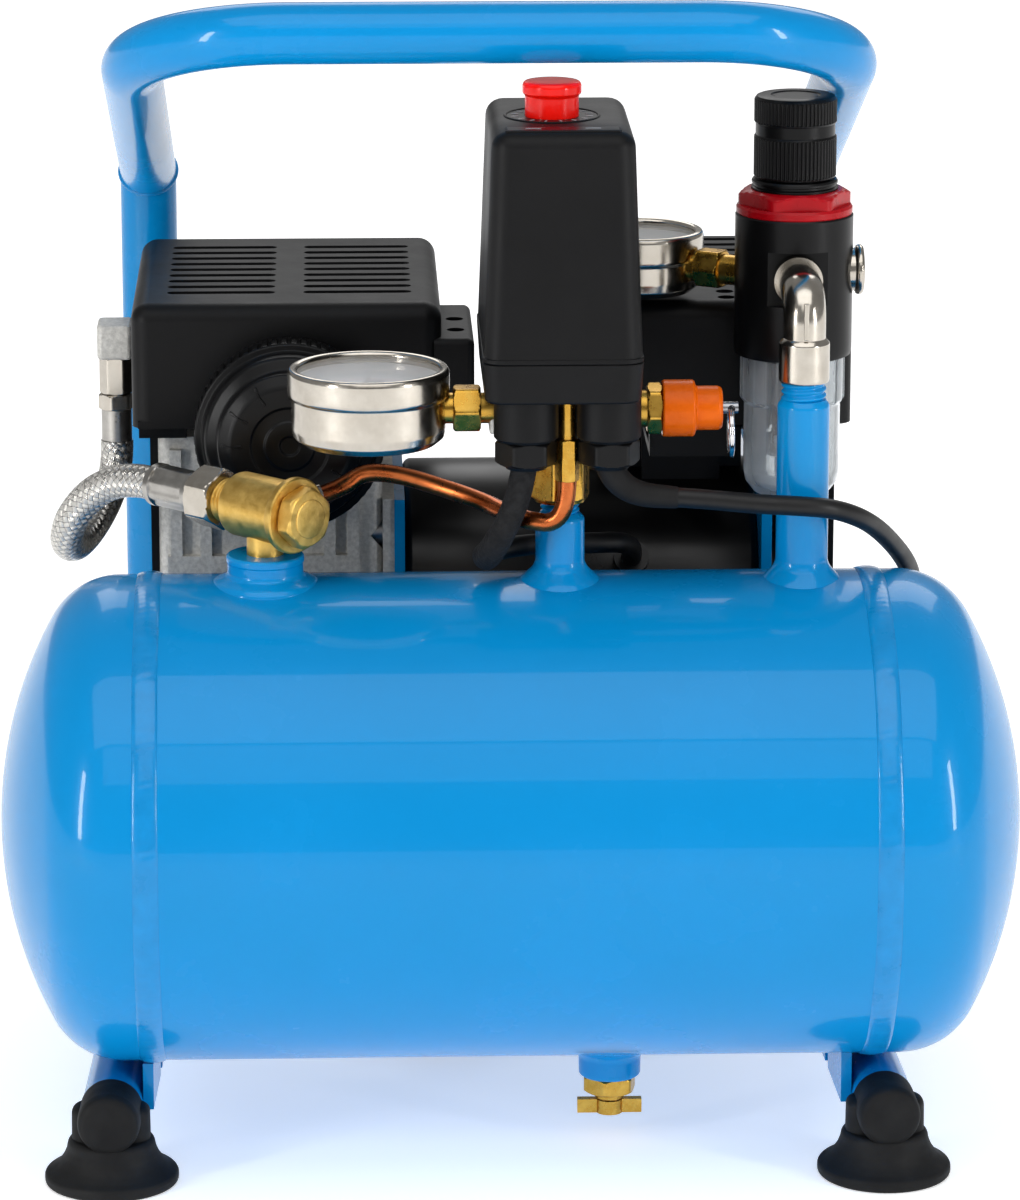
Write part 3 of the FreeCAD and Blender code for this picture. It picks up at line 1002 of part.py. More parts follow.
write("relief_valve_stem", stem.cut(rod(relief_at(EYE_X) - AY * 5, AY, EYE_R, 10)))
RING_R = 8.0
RING_WIRE_R = 0.7
pull_ring = Part.makeTorus(RING_R, RING_WIRE_R, relief_at(EYE_X) - AZ * RING_R, AX)
write("relief_valve_ring", pull_ring)

# ---------------------------------------------------------------- filter regulator
BONNET_R = 11.0
BONNET_TOP_Z = 334.0
COLLAR_SPIGOT_R = 16.0
COLLAR_TOP_Z = 315.5
COLLAR_STEP_Z = 308.0
RINGS_R = 14.0
RINGS_TOP_Z = 319.0
SPINDLE_R = 3.0
ELBOW_R = 7.0
body = turned([(0, REG_BOTTOM_Z), (REG_R - 1, REG_BOTTOM_Z), (REG_R, REG_BOTTOM_Z + 1), (REG_R, REG_TOP_Z),
               (COLLAR_SPIGOT_R, REG_TOP_Z), (COLLAR_SPIGOT_R, COLLAR_STEP_Z), (RINGS_R, COLLAR_STEP_Z),
               (RINGS_R, RINGS_TOP_Z), (BONNET_R, RINGS_TOP_Z), (BONNET_R, BONNET_TOP_Z), (0, BONNET_TOP_Z)],
              reg_centre, AZ)
filter_stub = turned([(0, 226), (9, 226), (9, 228), (6.5, 229), (6.5, 244), (7.5, 245),
                      (7.5, REG_BOTTOM_Z + 1), (0, REG_BOTTOM_Z + 1)], reg_centre, AZ)
body = body.fuse(filter_stub)
front_port = V(RISER_X, REG_Y - REG_R, PORT_Z)
port_face = block((RISER_X - 12.5, RISER_X + 12.5), (REG_Y - REG_R - 1, REG_Y - REG_R + 2.5),
                  (PORT_Z - 9, PORT_Z + 9))
body = body.cut(port_face)
body = body.cut(rod(front_port, AY, ELBOW_R + SEAT_GAP, 8))
to_gauge = (line_gauge_place - reg_centre).normalize()
body = body.cut(rod(reg_centre + AZ * LINE_GAUGE["stem_z"] + to_gauge * (REG_R - 5.5), to_gauge,
                    gauge_screw_r + SEAT_GAP, 6.0))
OUTLET_R = 7.15
OUTLET_END_X = RISER_X + REG_R + 3.5
OUTLET_DEPTH = 10.0
body = body.cut(rod(V(RISER_X + REG_R - OUTLET_DEPTH, REG_Y, PORT_Z), AX, OUTLET_R + SEAT_GAP, 20))
body = body.cut(rod(reg_centre + AZ * (PORT_Z - 4), AZ, SPINDLE_R + RUN_GAP, BONNET_TOP_Z - PORT_Z + 5))
write("regulator_body", body)

collar = turned([(COLLAR_SPIGOT_R + SEAT_GAP, REG_TOP_Z), (18.7, REG_TOP_Z), (18.7, COLLAR_STEP_Z - 0.5),
                 (18.0, COLLAR_STEP_Z), (COLLAR_SPIGOT_R + SEAT_GAP, COLLAR_STEP_Z)], reg_centre, AZ)
collar_hex = hexagon(reg_centre + AZ * COLLAR_STEP_Z, AZ, 33.0, COLLAR_TOP_Z - COLLAR_STEP_Z)
collar_hex = collar_hex.cut(rod(reg_centre + AZ * COLLAR_STEP_Z, AZ, RINGS_R + SEAT_GAP, 20))
write("regulator_collar", collar.fuse(collar_hex))

KNOB_ROOF = 4.5
knob_z = RINGS_TOP_Z + 0.5
roof_z = KNOB_TOP_Z - KNOB_ROOF
knob = turned([(BONNET_R + SLIDE_GAP, knob_z), (KNOB_R, knob_z), (KNOB_R, KNOB_TOP_Z - 16),
               (KNOB_R - 0.9, KNOB_TOP_Z - 15.5), (KNOB_R - 0.9, KNOB_TOP_Z - 10.5),
               (KNOB_R, KNOB_TOP_Z - 10), (KNOB_R, KNOB_TOP_Z - 1.5), (KNOB_R - 0.5, KNOB_TOP_Z - 0.5),
               (KNOB_R - 1.5, KNOB_TOP_Z), (0, KNOB_TOP_Z), (0, roof_z),
               (BONNET_R + SLIDE_GAP, roof_z)], reg_centre, AZ)
write("regulator_knob", knob)
disc_z = BONNET_TOP_Z + 2.0
spindle = turned([(0, PORT_Z - 2), (SPINDLE_R, PORT_Z - 2), (SPINDLE_R, disc_z), (10.5, disc_z),
                  (10.5, disc_z + 4), (0, disc_z + 4)], reg_centre, AZ)
write("regulator_spindle", spindle)

BOWL_WALL = 1.6
BOWL_FLANGE_R = 17.5
bowl_neck_z = 246.0
bowl = turned([(2.6, BOWL_BOTTOM_Z), (8, BOWL_BOTTOM_Z), (BOWL_R - 2, BOWL_BOTTOM_Z + 3),
               (BOWL_R, BOWL_BOTTOM_Z + 8),
               (BOWL_R, bowl_neck_z), (BOWL_FLANGE_R, bowl_neck_z), (BOWL_FLANGE_R, REG_BOTTOM_Z),
               (BOWL_R - BOWL_WALL, REG_BOTTOM_Z), (BOWL_R - BOWL_WALL, BOWL_BOTTOM_Z + 8.5),
               (7.5, BOWL_BOTTOM_Z + BOWL_WALL), (2.6, BOWL_BOTTOM_Z + BOWL_WALL)], reg_centre, AZ)
write("regulator_bowl", bowl)
drain_knob_z = BOWL_BOTTOM_Z - 12.0
drain_pin = turned([(0, drain_knob_z), (3.4, drain_knob_z), (3.4, drain_knob_z + 8), (2.5, drain_knob_z + 9),
                    (2.5, BOWL_BOTTOM_Z + 4), (0, BOWL_BOTTOM_Z + 4)], reg_centre, AZ)
write("bowl_drain", drain_pin)

ELBOW_COLLAR_R = 8.25
elbow_low_z = RISER_TOP_Z - 2.0
elbow_collar_h = 14.0
riser_axis = V(RISER_X, 0, 0)
elbow = tube([riser_axis + AZ * (RISER_TOP_Z + SEAT_GAP), riser_axis + AZ * PORT_Z,
              V(RISER_X, REG_Y - REG_R + 6, PORT_Z)], ELBOW_R, 3.5, 9.0)[0]
elbow_collar = ring(riser_axis + AZ * elbow_low_z, AZ, ELBOW_COLLAR_R, RISER_NECK_R + SEAT_GAP,
                    RISER_TOP_Z - elbow_low_z)
elbow_cup = ring(riser_axis + AZ * (RISER_TOP_Z + SEAT_GAP), AZ, ELBOW_COLLAR_R, ELBOW_R - 1.0,
                 elbow_collar_h - 2.0)
elbow_shoulder = ring(riser_axis + AZ * RISER_TOP_Z, AZ, ELBOW_COLLAR_R, RISER_NECK_R - 0.5, 2.0)
elbow_collar = elbow_collar.fuse(elbow_shoulder)
outlet = ring(V(RISER_X + REG_R - OUTLET_DEPTH, REG_Y, PORT_Z), AX, OUTLET_R, OUTLET_BORE_R,
              OUTLET_END_X - RISER_X - REG_R + OUTLET_DEPTH)
write("regulator_fittings", elbow.fuse([elbow_cup, elbow_collar]), outlet)

# ---------------------------------------------------------------- tank drain
DRAIN_HEX_AF = 16.0
DRAIN_HEX_H = 6.0
DRAIN_STEM_R = 2.0
WING_SPAN = 21.5
drain_hex_z = DRAIN_BOSS_Z - DRAIN_HEX_H
drain_nose_z = drain_hex_z - 2.5
drain_body = hexagon(V(DRAIN_X, 0, drain_hex_z), AZ, DRAIN_HEX_AF, DRAIN_HEX_H, 30)
drain_body = drain_body.fuse([rod(V(DRAIN_X, 0, drain_hex_z), AZ, DRAIN_THREAD_R - SEAT_GAP, DRAIN_HEX_H + 9),
                              rod(V(DRAIN_X, 0, drain_nose_z), AZ, 4.8, 3.0)])
drain_body = drain_body.cut(rod(V(DRAIN_X, 0, drain_nose_z), AZ, DRAIN_STEM_R + RUN_GAP, 20))
write("drain_valve_body", drain_body)
wing_z = drain_nose_z - 5.0
wing = rod(V(DRAIN_X, 0, wing_z), AZ, 4.5, 4.7)
for wing_side in (-1, 1):
    x = sorted((DRAIN_X, DRAIN_X + wing_side * WING_SPAN / 2))
    wing = wing.fuse(block(x, (-1.5, 1.5), (wing_z, wing_z + 4.7)))
wing = wing.fuse(rod(V(DRAIN_X, 0, wing_z), AZ, DRAIN_STEM_R, 15))
write("drain_wing", wing)

# ---------------------------------------------------------------- electric leads
gland_mouth_z = GLAND_Z - GLAND_NUT_H
motor_gland_end = gland_root + motor_gland_normal * (MOTOR_GLAND_REACH + 1.0)
motor_route = [V(GLANDS_X[0], GLAND_Y, gland_mouth_z + GLAND_MOUTH_H), V(2.4, -16.4, 227.0),
               V(-2.4, -17.0, 216.0),
               V(-6.8, -12.4, 207.0), V(-8.6, -2.8, 202.8), V(-5.4, 8.4, 202.2), V(3.4, 18.6, 201.4),
               V(15.4, 28.0, 199.6), V(28.6, 38.6, 197.0), V(38.6, 52.0, 194.0),
               motor_gland_end + motor_gland_normal * 13.0, motor_gland_end]
write("motor_lead", cord("motor_lead", motor_route, MOTOR_LEAD_R))

COIL_LAYERS = 2
COIL_ROWS = 3
coil_outer_r = COIL_MEAN_R + COIL_ROWS * LEAD_R
coil_inner_r = COIL_MEAN_R - COIL_ROWS * LEAD_R
coil_h = 2 * LEAD_R * COIL_LAYERS + 0.4
COIL_TAIL = 26.0
FLOOR_LIFT = 0.1
coil_centre = V(COIL_X, COIL_Y, FLOOR_LIFT)
low_z = LEAD_R + FLOOR_LIFT
high_z = low_z + 2 * LEAD_R
tail_y = COIL_Y - coil_outer_r + LEAD_R
coil = ring(coil_centre, AZ, coil_outer_r, coil_inner_r, coil_h)
coil = coil.fuse([rod(V(COIL_X, tail_y, low_z), AX, LEAD_R, COIL_TAIL),
                  rod(V(COIL_X - COIL_TAIL, tail_y, high_z), AX, LEAD_R, COIL_TAIL)])
write("mains_coil", coil)

mains_route = [V(GLANDS_X[1], GLAND_Y, 242.2), V(GLANDS_X[1], GLAND_Y, 237.0), V(33.0, -15.1, 232.2),
               V(36.7, -15.2, 228.6), V(41.5, -15.6, 226.6), V(48.0, -16.2, 225.9), V(61.0, -16.8, 225.2),
               V(79.0, -16.4, 222.8), V(97.0, -16.6, 221.4),
               V(112.0, -14.0, 217.4),
               V(123.0, -8.0, 210.6), V(131.0, 3.0, 204.6), V(135.0, 20.0, 201.0), V(137.0, 40.0, 193.6),
               V(138.0, 59.0, 180.0), V(137.6, 74.0, 160.0), V(137.0, 84.0, 134.0), V(137.6, 90.0, 104.0),
               V(138.6, 93.0, 73.0), V(138.4, 95.6, 44.0), V(135.0, 99.0, 20.0), V(123.0, 103.4, 6.6),
               V(104.0, 106.0, 3.6), V(84.0, tail_y, low_z), V(COIL_X + COIL_TAIL, tail_y, low_z)]
write("mains_lead", cord("mains_lead", mains_route, LEAD_R))

PLUG_R = 18.5
PLUG_RIM = 36.0
PLUG_REACH = 45.0
PLUG_START_GAP = 1.0
PLUG_TILT = math.atan(PLUG_R / PLUG_RIM) - math.asin((high_z - FLOOR_LIFT) / math.hypot(PLUG_R, PLUG_RIM))
PIN_SPACING = 19.0
CONTACT_R = 2.4
plug_axis = V(-math.cos(PLUG_TILT), 0, math.sin(PLUG_TILT))
plug_start = V(COIL_X - COIL_TAIL - PLUG_START_GAP, tail_y, high_z)
mains_plug = turned([(0, 0), (LEAD_R + 1.2, 0), (5.6, 14), (8.5, 17), (11, 26), (16.5, 32),
                     (PLUG_R, PLUG_RIM),
                     (PLUG_R, PLUG_REACH), (0, PLUG_REACH)], plug_start, plug_axis)
for pin_side in (-1, 1):
    pin_start = plug_start + plug_axis * (PLUG_REACH - 2) + AY * (pin_side * PIN_SPACING / 2)
    mains_plug = mains_plug.fuse(rod(pin_start, plug_axis, CONTACT_R, 21))
write("mains_plug", mains_plug)
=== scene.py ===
import json
import math

import bmesh
import bpy
import numpy as np
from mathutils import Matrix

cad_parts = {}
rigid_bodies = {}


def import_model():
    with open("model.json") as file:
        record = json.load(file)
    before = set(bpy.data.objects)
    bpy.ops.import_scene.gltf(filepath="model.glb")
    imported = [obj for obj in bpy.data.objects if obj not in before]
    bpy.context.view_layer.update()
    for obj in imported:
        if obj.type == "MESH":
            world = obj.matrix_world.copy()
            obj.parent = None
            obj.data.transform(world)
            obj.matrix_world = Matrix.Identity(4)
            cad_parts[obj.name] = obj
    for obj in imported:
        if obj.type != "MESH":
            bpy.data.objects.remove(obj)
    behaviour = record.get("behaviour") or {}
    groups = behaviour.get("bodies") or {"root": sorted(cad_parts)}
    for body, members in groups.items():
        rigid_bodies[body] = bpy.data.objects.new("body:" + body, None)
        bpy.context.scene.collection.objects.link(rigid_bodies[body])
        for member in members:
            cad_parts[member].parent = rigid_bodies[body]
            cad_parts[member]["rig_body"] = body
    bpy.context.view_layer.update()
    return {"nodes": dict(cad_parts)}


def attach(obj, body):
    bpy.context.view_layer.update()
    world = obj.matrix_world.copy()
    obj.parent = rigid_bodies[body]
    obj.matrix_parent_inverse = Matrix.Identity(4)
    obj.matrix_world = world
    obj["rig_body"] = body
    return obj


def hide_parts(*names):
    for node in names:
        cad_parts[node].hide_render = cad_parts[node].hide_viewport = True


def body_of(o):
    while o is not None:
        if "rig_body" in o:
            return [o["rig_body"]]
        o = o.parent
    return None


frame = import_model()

bl_info = {"name": "Small air compressor", "version": (1, 0, 0), "blender": (4, 5, 0),
           "location": "View3D > Sidebar > Compressor", "category": "Add Mesh",
           "description": "Builds a small oil-free air compressor round its packed frame"}

MM = 0.001
TAU = 2 * math.pi

# Places in millimetres, in the frame's own axes: X right, Y back, Z up.
TANK_Y, TANK_Z, TANK_R, SEAM_X = -69.4, 115.0, 80.0, 118.0
LEG_X = {-1: -123.0, 1: 113.0}
LEG_Y, SKID_Z, SKID_FRONT_Y, SKID_SPLAY = 140.6, 23.5, -109.4, 9.5
TUBE_R, KINK_Z, BAR_Y, BAR_Z = 10.0, 293.0, -54.4, 372.0
SWITCH = (16.0, -58.4)
REGULATOR = (95.0, -24.4)
VALVE = np.array([-80.0, -69.4, 219.0])
VALVE_AXIS = np.array([math.sqrt(0.5), -math.sqrt(0.5), 0.0])
SIDE_AXIS = np.array([math.sqrt(0.5), math.sqrt(0.5), 0.0])


# ---------------------------------------------------------------- settings
def number(title, text, value, **more):
    return bpy.props.FloatProperty(name=title, description=text, default=value, **more)


def shade(title, text, value):
    return bpy.props.StringProperty(name=title, description=text, default=value)


class CompressorColours(bpy.types.PropertyGroup):
    """Paint and plastic colours, as sRGB hex values."""
    paint: shade("Tank paint", "Enamel of the tank, the tubes and the handle", "#0289CC")
    plastic: shade("Moulded plastic", "Covers, switch and regulator body", "#101011")
    button: shade("Button", "Pull and push button of the switch", "#FC1408")
    collar: shade("Collar", "Hexagonal collar of the regulator", "#B00614")
    cap: shade("Valve cap", "Cap and band of the relief valve", "#E06308")


class CompressorSizes(bpy.types.PropertyGroup):
    """Sizes of the surface detail."""
    bead_height: number("Weld height", "How far the tank's weld beads stand proud, in millimetres", 1.3, min=0.5,
                        max=3.0)
    edge: number("Edge softness", "Width of the softened edges of sheet and cast pieces, in millimetres", 0.6,
                 min=0.1, max=1.5)
    braid_pitch: number("Braid pitch", "Length of one turn of the hose braid's wires, in millimetres", 34.0,
                        min=10.0, max=60.0)
    knurls: bpy.props.IntProperty(name="Knob ribs", description="Ribs round the regulator's knob", default=60,
                                  min=20, max=120)


# ---------------------------------------------------------------- surfaces
def unit(vectors):
    vectors = np.asarray(vectors, float)
    return vectors / np.linalg.norm(vectors, axis=-1, keepdims=True)


def axes_of(direction):
    """Right-handed columns x, y, z with z along direction."""
    z = unit(direction)
    guess = np.array([1.0, 0, 0]) if abs(z[0]) < 0.9 else np.array([0, 1.0, 0])
    x = unit(guess - z * (guess @ z))
    return np.column_stack([x, np.cross(z, x), z])


def patch(points, paint=0):
    """A surface from a (rows, columns, 3) array: quads between neighbours, u along a row and v up the rows."""
    rows, columns = points.shape[:2]
    index = np.arange(rows * columns).reshape(rows, columns)
    quads = np.stack([index[:-1, :-1], index[:-1, 1:], index[1:, 1:], index[1:, :-1]], -1).reshape(-1, 4)
    v, u = np.meshgrid(np.linspace(0, 1, rows), np.linspace(0, 1, columns), indexing="ij")
    return {"points": points.reshape(-1, 3), "faces": quads.tolist(), "paint": paint,
            "uv": np.stack([u, v], -1).reshape(-1, 2)}


def softened(corners, reach, steps=4):
    """Round an outline: each corner P becomes the parabola (1-t)^2 S + 2t(1-t) P + t^2 E between the points
    S and E that lie reach away from it along its two sides, or 0.45 of a shorter side."""
    p = np.asarray(corners, float)
    back, ahead = p[:-2] - p[1:-1], p[2:] - p[1:-1]
    long_back = np.linalg.norm(back, axis=1, keepdims=True)
    long_ahead = np.linalg.norm(ahead, axis=1, keepdims=True)
    far = np.minimum(np.broadcast_to(np.reshape(reach, (-1, 1)), long_back.shape),
                     0.45 * np.minimum(long_back, long_ahead))
    s, e = p[1:-1] + back / long_back * far, p[1:-1] + ahead / long_ahead * far
    t = np.linspace(0, 1, steps + 1)[None, :, None]
    arcs = (1 - t) ** 2 * s[:, None] + 2 * t * (1 - t) * p[1:-1, None] + t ** 2 * e[:, None]
    return np.vstack([p[:1], arcs.reshape(-1, p.shape[1]), p[-1:]])


def lathe(outline, centre, axis=(0, 0, 1), turns=96, swell=None, paint=0, soft=None):
    """P = centre + r cos(a) x + r sin(a) y + h z for an outline of (r, h); swell(a, r, h) gives new r and h."""
    outline = softened(outline, soft) if soft else np.asarray(outline, float)
    angle = np.linspace(0, TAU, turns + 1)[None]
    r = outline[:, :1] + 0 * angle
    h = outline[:, 1:] + 0 * angle
    angle = angle + 0 * r
    if swell:
        r, h = swell(angle, r, h)
    local = np.stack([r * np.cos(angle), r * np.sin(angle), h], -1)
    return patch(np.asarray(centre, float) + local @ axes_of(axis).T, paint)


def threaded(low, high, depth, pitch):
    """A swell for lathe that cuts a round thread between two heights: r = r + d (sin(TAU h / pitch - a) - 1) / 2."""
    def cut(a, r, h):
        inside = (h > low) & (h < high)
        return np.where(inside, r + depth * (np.sin(TAU * h / pitch - a) - 1) / 2, r), h
    return cut


def hex_edge(angle, across):
    """How far a hexagon's edge is from its middle at an angle; its corners are worn by a fiftieth."""
    return np.minimum(across / 2 / np.cos(np.mod(angle, TAU / 6) - TAU / 12), across / 2 * 1.132)


def nut(across, height, centre, axis, bore=0.0, start=0.0, paint=0, both=True):
    """A hexagon whose ends are chamfered by a 30 degree cone: r = min(hexagon, 0.96 a + 1.73 d), where d is
    the distance from the chamfered end."""
    a = across / 2
    near = np.linspace(0, 0.14 * a, 5)
    rows = np.concatenate([near, height - near[::-1]])
    angle = np.linspace(0, TAU, 97)[None]
    d = np.minimum(rows, height - rows) if both else height - rows
    r = np.minimum(hex_edge(angle, across), 0.96 * a + 1.73 * d[:, None])
    r = np.vstack([0 * angle + bore, r, 0 * angle + bore, 0 * angle + bore])
    h = np.concatenate([[0], rows, [height, 0]])[:, None] + 0 * angle
    local = np.stack([r * np.cos(angle + start), r * np.sin(angle + start), h], -1)
    return patch(np.asarray(centre, float) + local @ axes_of(axis).T, paint)


def bent(points, radius, steps=14):
    """A path of straight runs joined by round arcs: C + a cos(f) + u R sin(f) for f from 0 to the turn."""
    points = np.asarray(points, float)
    path = [points[:1]]
    for before, corner, after in zip(points, points[1:], points[2:]):
        u, w = unit(corner - before), unit(after - corner)
        half = math.acos(float(np.clip(u @ w, -1, 1))) / 2
        centre = corner + unit(w - u) * radius / math.cos(half)
        arm = corner - u * radius * math.tan(half) - centre
        f = np.linspace(0, 2 * half, steps)[:, None]
        path.append(centre + arm * np.cos(f) + u * radius * np.sin(f))
    path.append(points[-1:])
    return np.vstack(path)


def sweep(path, radius, guide, turns=48, caps=True, cuts=(None, None), paint=0, closed=False):
    """Carry a circle along a path: P = C + r (side cos(a) + up sin(a)), side = tangent x guide. An end ring
    with a cut slides along the tangent until it lies in the plane that has that normal."""
    path = np.asarray(path, float)
    tangent = unit(np.gradient(path, axis=0))
    tangent[0], tangent[-1] = unit(path[1] - path[0]), unit(path[-1] - path[-2])
    if closed:
        tangent[0] = tangent[-1] = unit(path[1] - path[-2])
    side = unit(np.cross(tangent, guide))
    up = np.cross(tangent, side)
    angle = np.linspace(0, TAU, turns + 1)
    radius = np.broadcast_to(np.reshape(radius, (-1, 1)), (len(path), 1)) + 0 * angle[None]
    ring = side[:, None] * np.cos(angle)[None, :, None] + up[:, None] * np.sin(angle)[None, :, None]
    ring = ring * radius[..., None]
    for end, normal in zip((0, -1), cuts):
        if normal is not None:
            ring[end] -= np.outer(ring[end] @ normal / (tangent[end] @ normal), tangent[end])
    points = path[:, None] + ring
    if caps:
        points = np.concatenate([points[:1] * 0 + path[0], points, points[-1:] * 0 + path[-1]])
    return patch(points, paint)


def rectangle(half_x, half_y, corner, steps=8):
    """Round-cornered rectangles, one a row: (rows, columns, 2)."""
    a = np.linspace(0, TAU / 4, steps + 1)
    quarter = np.repeat(np.arange(4), steps + 1)
    angle = np.tile(a, 4) + quarter * TAU / 4
    sx, sy = np.array([1, -1, -1, 1])[quarter], np.array([1, 1, -1, -1])[quarter]
    half_x, half_y, corner = (np.reshape(v, (-1, 1)) for v in np.broadcast_arrays(half_x, half_y, corner))
    x = sx * (half_x - corner) + corner * np.cos(angle)
    y = sy * (half_y - corner) + corner * np.sin(angle)
    loop = np.stack([x, y], -1)
    return np.concatenate([loop, loop[:, :1]], 1)


def soft_block(low, high, z, corner, low_edge=0.5, high_edge=0.5, centre=(0, 0), origin=(0, 0, 0), paint=0):
    """A block with round upright edges that tapers from half sizes low to half sizes high over heights z.
    Its end edges are quarter rounds: inset = e (1 - sin f), height = e (1 - cos f)."""
    f = np.linspace(0, TAU / 4, 7)
    inset = np.concatenate([low_edge * (1 - np.sin(f)), high_edge * (1 - np.cos(f))])
    height = np.concatenate([z[0] + low_edge * (1 - np.cos(f)), z[1] - high_edge * (1 - np.sin(f))])
    share = ((height - z[0]) / (z[1] - z[0]))[:, None]
    half = np.asarray(low, float) * (1 - share) + np.asarray(high, float) * share - inset[:, None]
    loops = rectangle(half[:, 0], half[:, 1], np.maximum(corner - inset, 0.15))
    rows = np.concatenate([loops, height[:, None, None] + 0 * loops[..., :1]], -1)
    first, last = rows[:1] * 0 + [0, 0, z[0]], rows[-1:] * 0 + [0, 0, z[1]]
    rows = np.concatenate([first, rows, last]) + [centre[0], centre[1], 0]
    return patch(rows + np.asarray(origin, float), paint)


def box_mm(x, y, z, edge=0.5, corner=None, paint=0):
    """A softened box between x, y and z pairs."""
    half = ((x[1] - x[0]) / 2, (y[1] - y[0]) / 2)
    return soft_block(half, half, z, corner or edge, edge, edge, ((x[0] + x[1]) / 2, (y[0] + y[1]) / 2), paint=paint)


def turned_about(shape, centre, axis, angle):
    """Rodrigues' formula: p cos(f) + (k x p) sin(f) + k (k . p)(1 - cos(f)) about a line through centre."""
    k = unit(axis)
    p = shape["points"] - centre
    spun = p * math.cos(angle) + np.cross(k, p) * math.sin(angle) + np.outer(p @ k, k) * (1 - math.cos(angle))
    return {**shape, "points": spun + centre}


def slab(outline, thick, paint=0):
    """A level plate: an (n, 3) outline, counter-clockwise seen from above, and the same outline thick lower."""
    top, n = np.asarray(outline, float), len(outline)
    ahead = np.roll(np.arange(n), -1)
    walls = np.column_stack([np.arange(n) + n, ahead + n, ahead, np.arange(n)]).tolist()
    return {"points": np.vstack([top, top - (0, 0, thick)]), "paint": paint, "uv": np.zeros((2 * n, 2)),
            "faces": [list(range(n)), list(range(2 * n - 1, n - 1, -1))] + walls}


def numeral(text, size, centre, paint=0):
    """A dial numeral: a text curve as a thin plate of mesh, its middle at centre."""
    curve = bpy.data.curves.new("numeral", "FONT")
    curve.body, curve.size, curve.align_x, curve.align_y = text, size, "CENTER", "CENTER"
    curve.extrude = 0.05
    carrier = bpy.data.objects.new("numeral", curve)
    mesh = bpy.data.meshes.new_from_object(carrier)
    points = np.empty(len(mesh.vertices) * 3)
    mesh.vertices.foreach_get("co", points)
    points = points.reshape(-1, 3)
    faces = [list(face.vertices) for face in mesh.polygons]
    bpy.data.objects.remove(carrier)
    bpy.data.curves.remove(curve)
    bpy.data.meshes.remove(mesh)
    return {"points": points + centre, "faces": faces, "paint": paint, "uv": np.zeros((len(points), 2))}


def piece(name, shapes, materials, body="frame", replaces=(), sharp=32.0):
    """Join shapes into one object in metres, close seams and poles, shade it smooth up to the sharp angle."""
    start, points, faces, paints, uvs = 0, [], [], [], []
    for shape in shapes:
        points.append(shape["points"])
        faces += [[start + i for i in face] for face in shape["faces"]]
        paints += [shape["paint"]] * len(shape["faces"])
        uvs.append(shape["uv"])
        start += len(shape["points"])
    mesh = bpy.data.meshes.new(name)
    mesh.from_pydata((np.vstack(points) * MM).tolist(), [], faces)
    mesh.uv_layers.new(name="UVMap").data.foreach_set(
        "uv", np.vstack(uvs)[np.concatenate([np.asarray(face) for face in faces])].astype(np.float32).ravel())
    mesh.polygons.foreach_set("material_index", paints)
    finished(mesh, sharp)
    thing = bpy.data.objects.new(name, mesh)
    bpy.context.scene.collection.objects.link(thing)
    for material in materials:
        mesh.materials.append(MATERIALS[material])
    even = thing.modifiers.new("even shading", "WEIGHTED_NORMAL")
    even.keep_sharp = True
    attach(thing, body)
    if replaces:
        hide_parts(*replaces)
    return thing


def finished(mesh, sharp):
    """Merge doubled points, drop faces that fell flat, and mark the sharp edges."""
    work = bmesh.new()
    work.from_mesh(mesh)
    bmesh.ops.remove_doubles(work, verts=work.verts, dist=2e-7)
    bmesh.ops.dissolve_degenerate(work, edges=work.edges, dist=1e-8)
    work.to_mesh(mesh)
    work.free()
    mesh.polygons.foreach_set("use_smooth", np.ones(len(mesh.polygons), bool))
    mesh.set_sharp_from_angle(angle=math.radians(sharp))


def softened_copy(node, name, material, edge):
    """A copy of a CAD node: its loose triangles joined, its flats made whole, its sharp edges rounded."""
    sharp = math.radians(30.0)
    mesh = frame["nodes"][node].data.copy()
    mesh.name = name
    mesh.materials.clear()
    mesh.materials.append(MATERIALS[material])
    work = bmesh.new()
    work.from_mesh(mesh)
    bmesh.ops.remove_doubles(work, verts=work.verts, dist=2e-6)
    bmesh.ops.dissolve_limit(work, angle_limit=math.radians(0.8), verts=work.verts, edges=work.edges)
    for face in work.faces:
        face.material_index = 0
        face.smooth = True
    work.to_mesh(mesh)
    work.free()
    mesh.set_sharp_from_angle(angle=sharp)
    thing = bpy.data.objects.new(name, mesh)
    bpy.context.scene.collection.objects.link(thing)
    bevel = thing.modifiers.new("softened edges", "BEVEL")
    bevel.width, bevel.segments, bevel.limit_method = edge * MM, 2, "ANGLE"
    bevel.angle_limit = sharp
    even = thing.modifiers.new("even shading", "WEIGHTED_NORMAL")
    even.keep_sharp = True
    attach(thing, body_of(frame["nodes"][node])[0])
    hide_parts(node)
    return thing


# ---------------------------------------------------------------- finishes
MATERIALS = {}


def linear(colour):
    """sRGB hex to a linear RGBA colour."""
    channels = [int(colour.lstrip("#")[i:i + 2], 16) / 255 for i in (0, 2, 4)]
    return tuple([c / 12.92 if c <= 0.04045 else ((c + 0.055) / 1.055) ** 2.4 for c in channels] + [1.0])


def put(tree, kind, inputs=(), **settings):
    """Add a shader node with its settings; an input is a value, or the socket that feeds it."""
    made = tree.nodes.new("ShaderNode" + kind)
    for key, value in settings.items():
        setattr(made, key, value)
    for key, value in dict(inputs).items():
        if isinstance(value, bpy.types.NodeSocket):
            tree.links.new(value, made.inputs[key])
        else:
            made.inputs[key].default_value = value
    return made


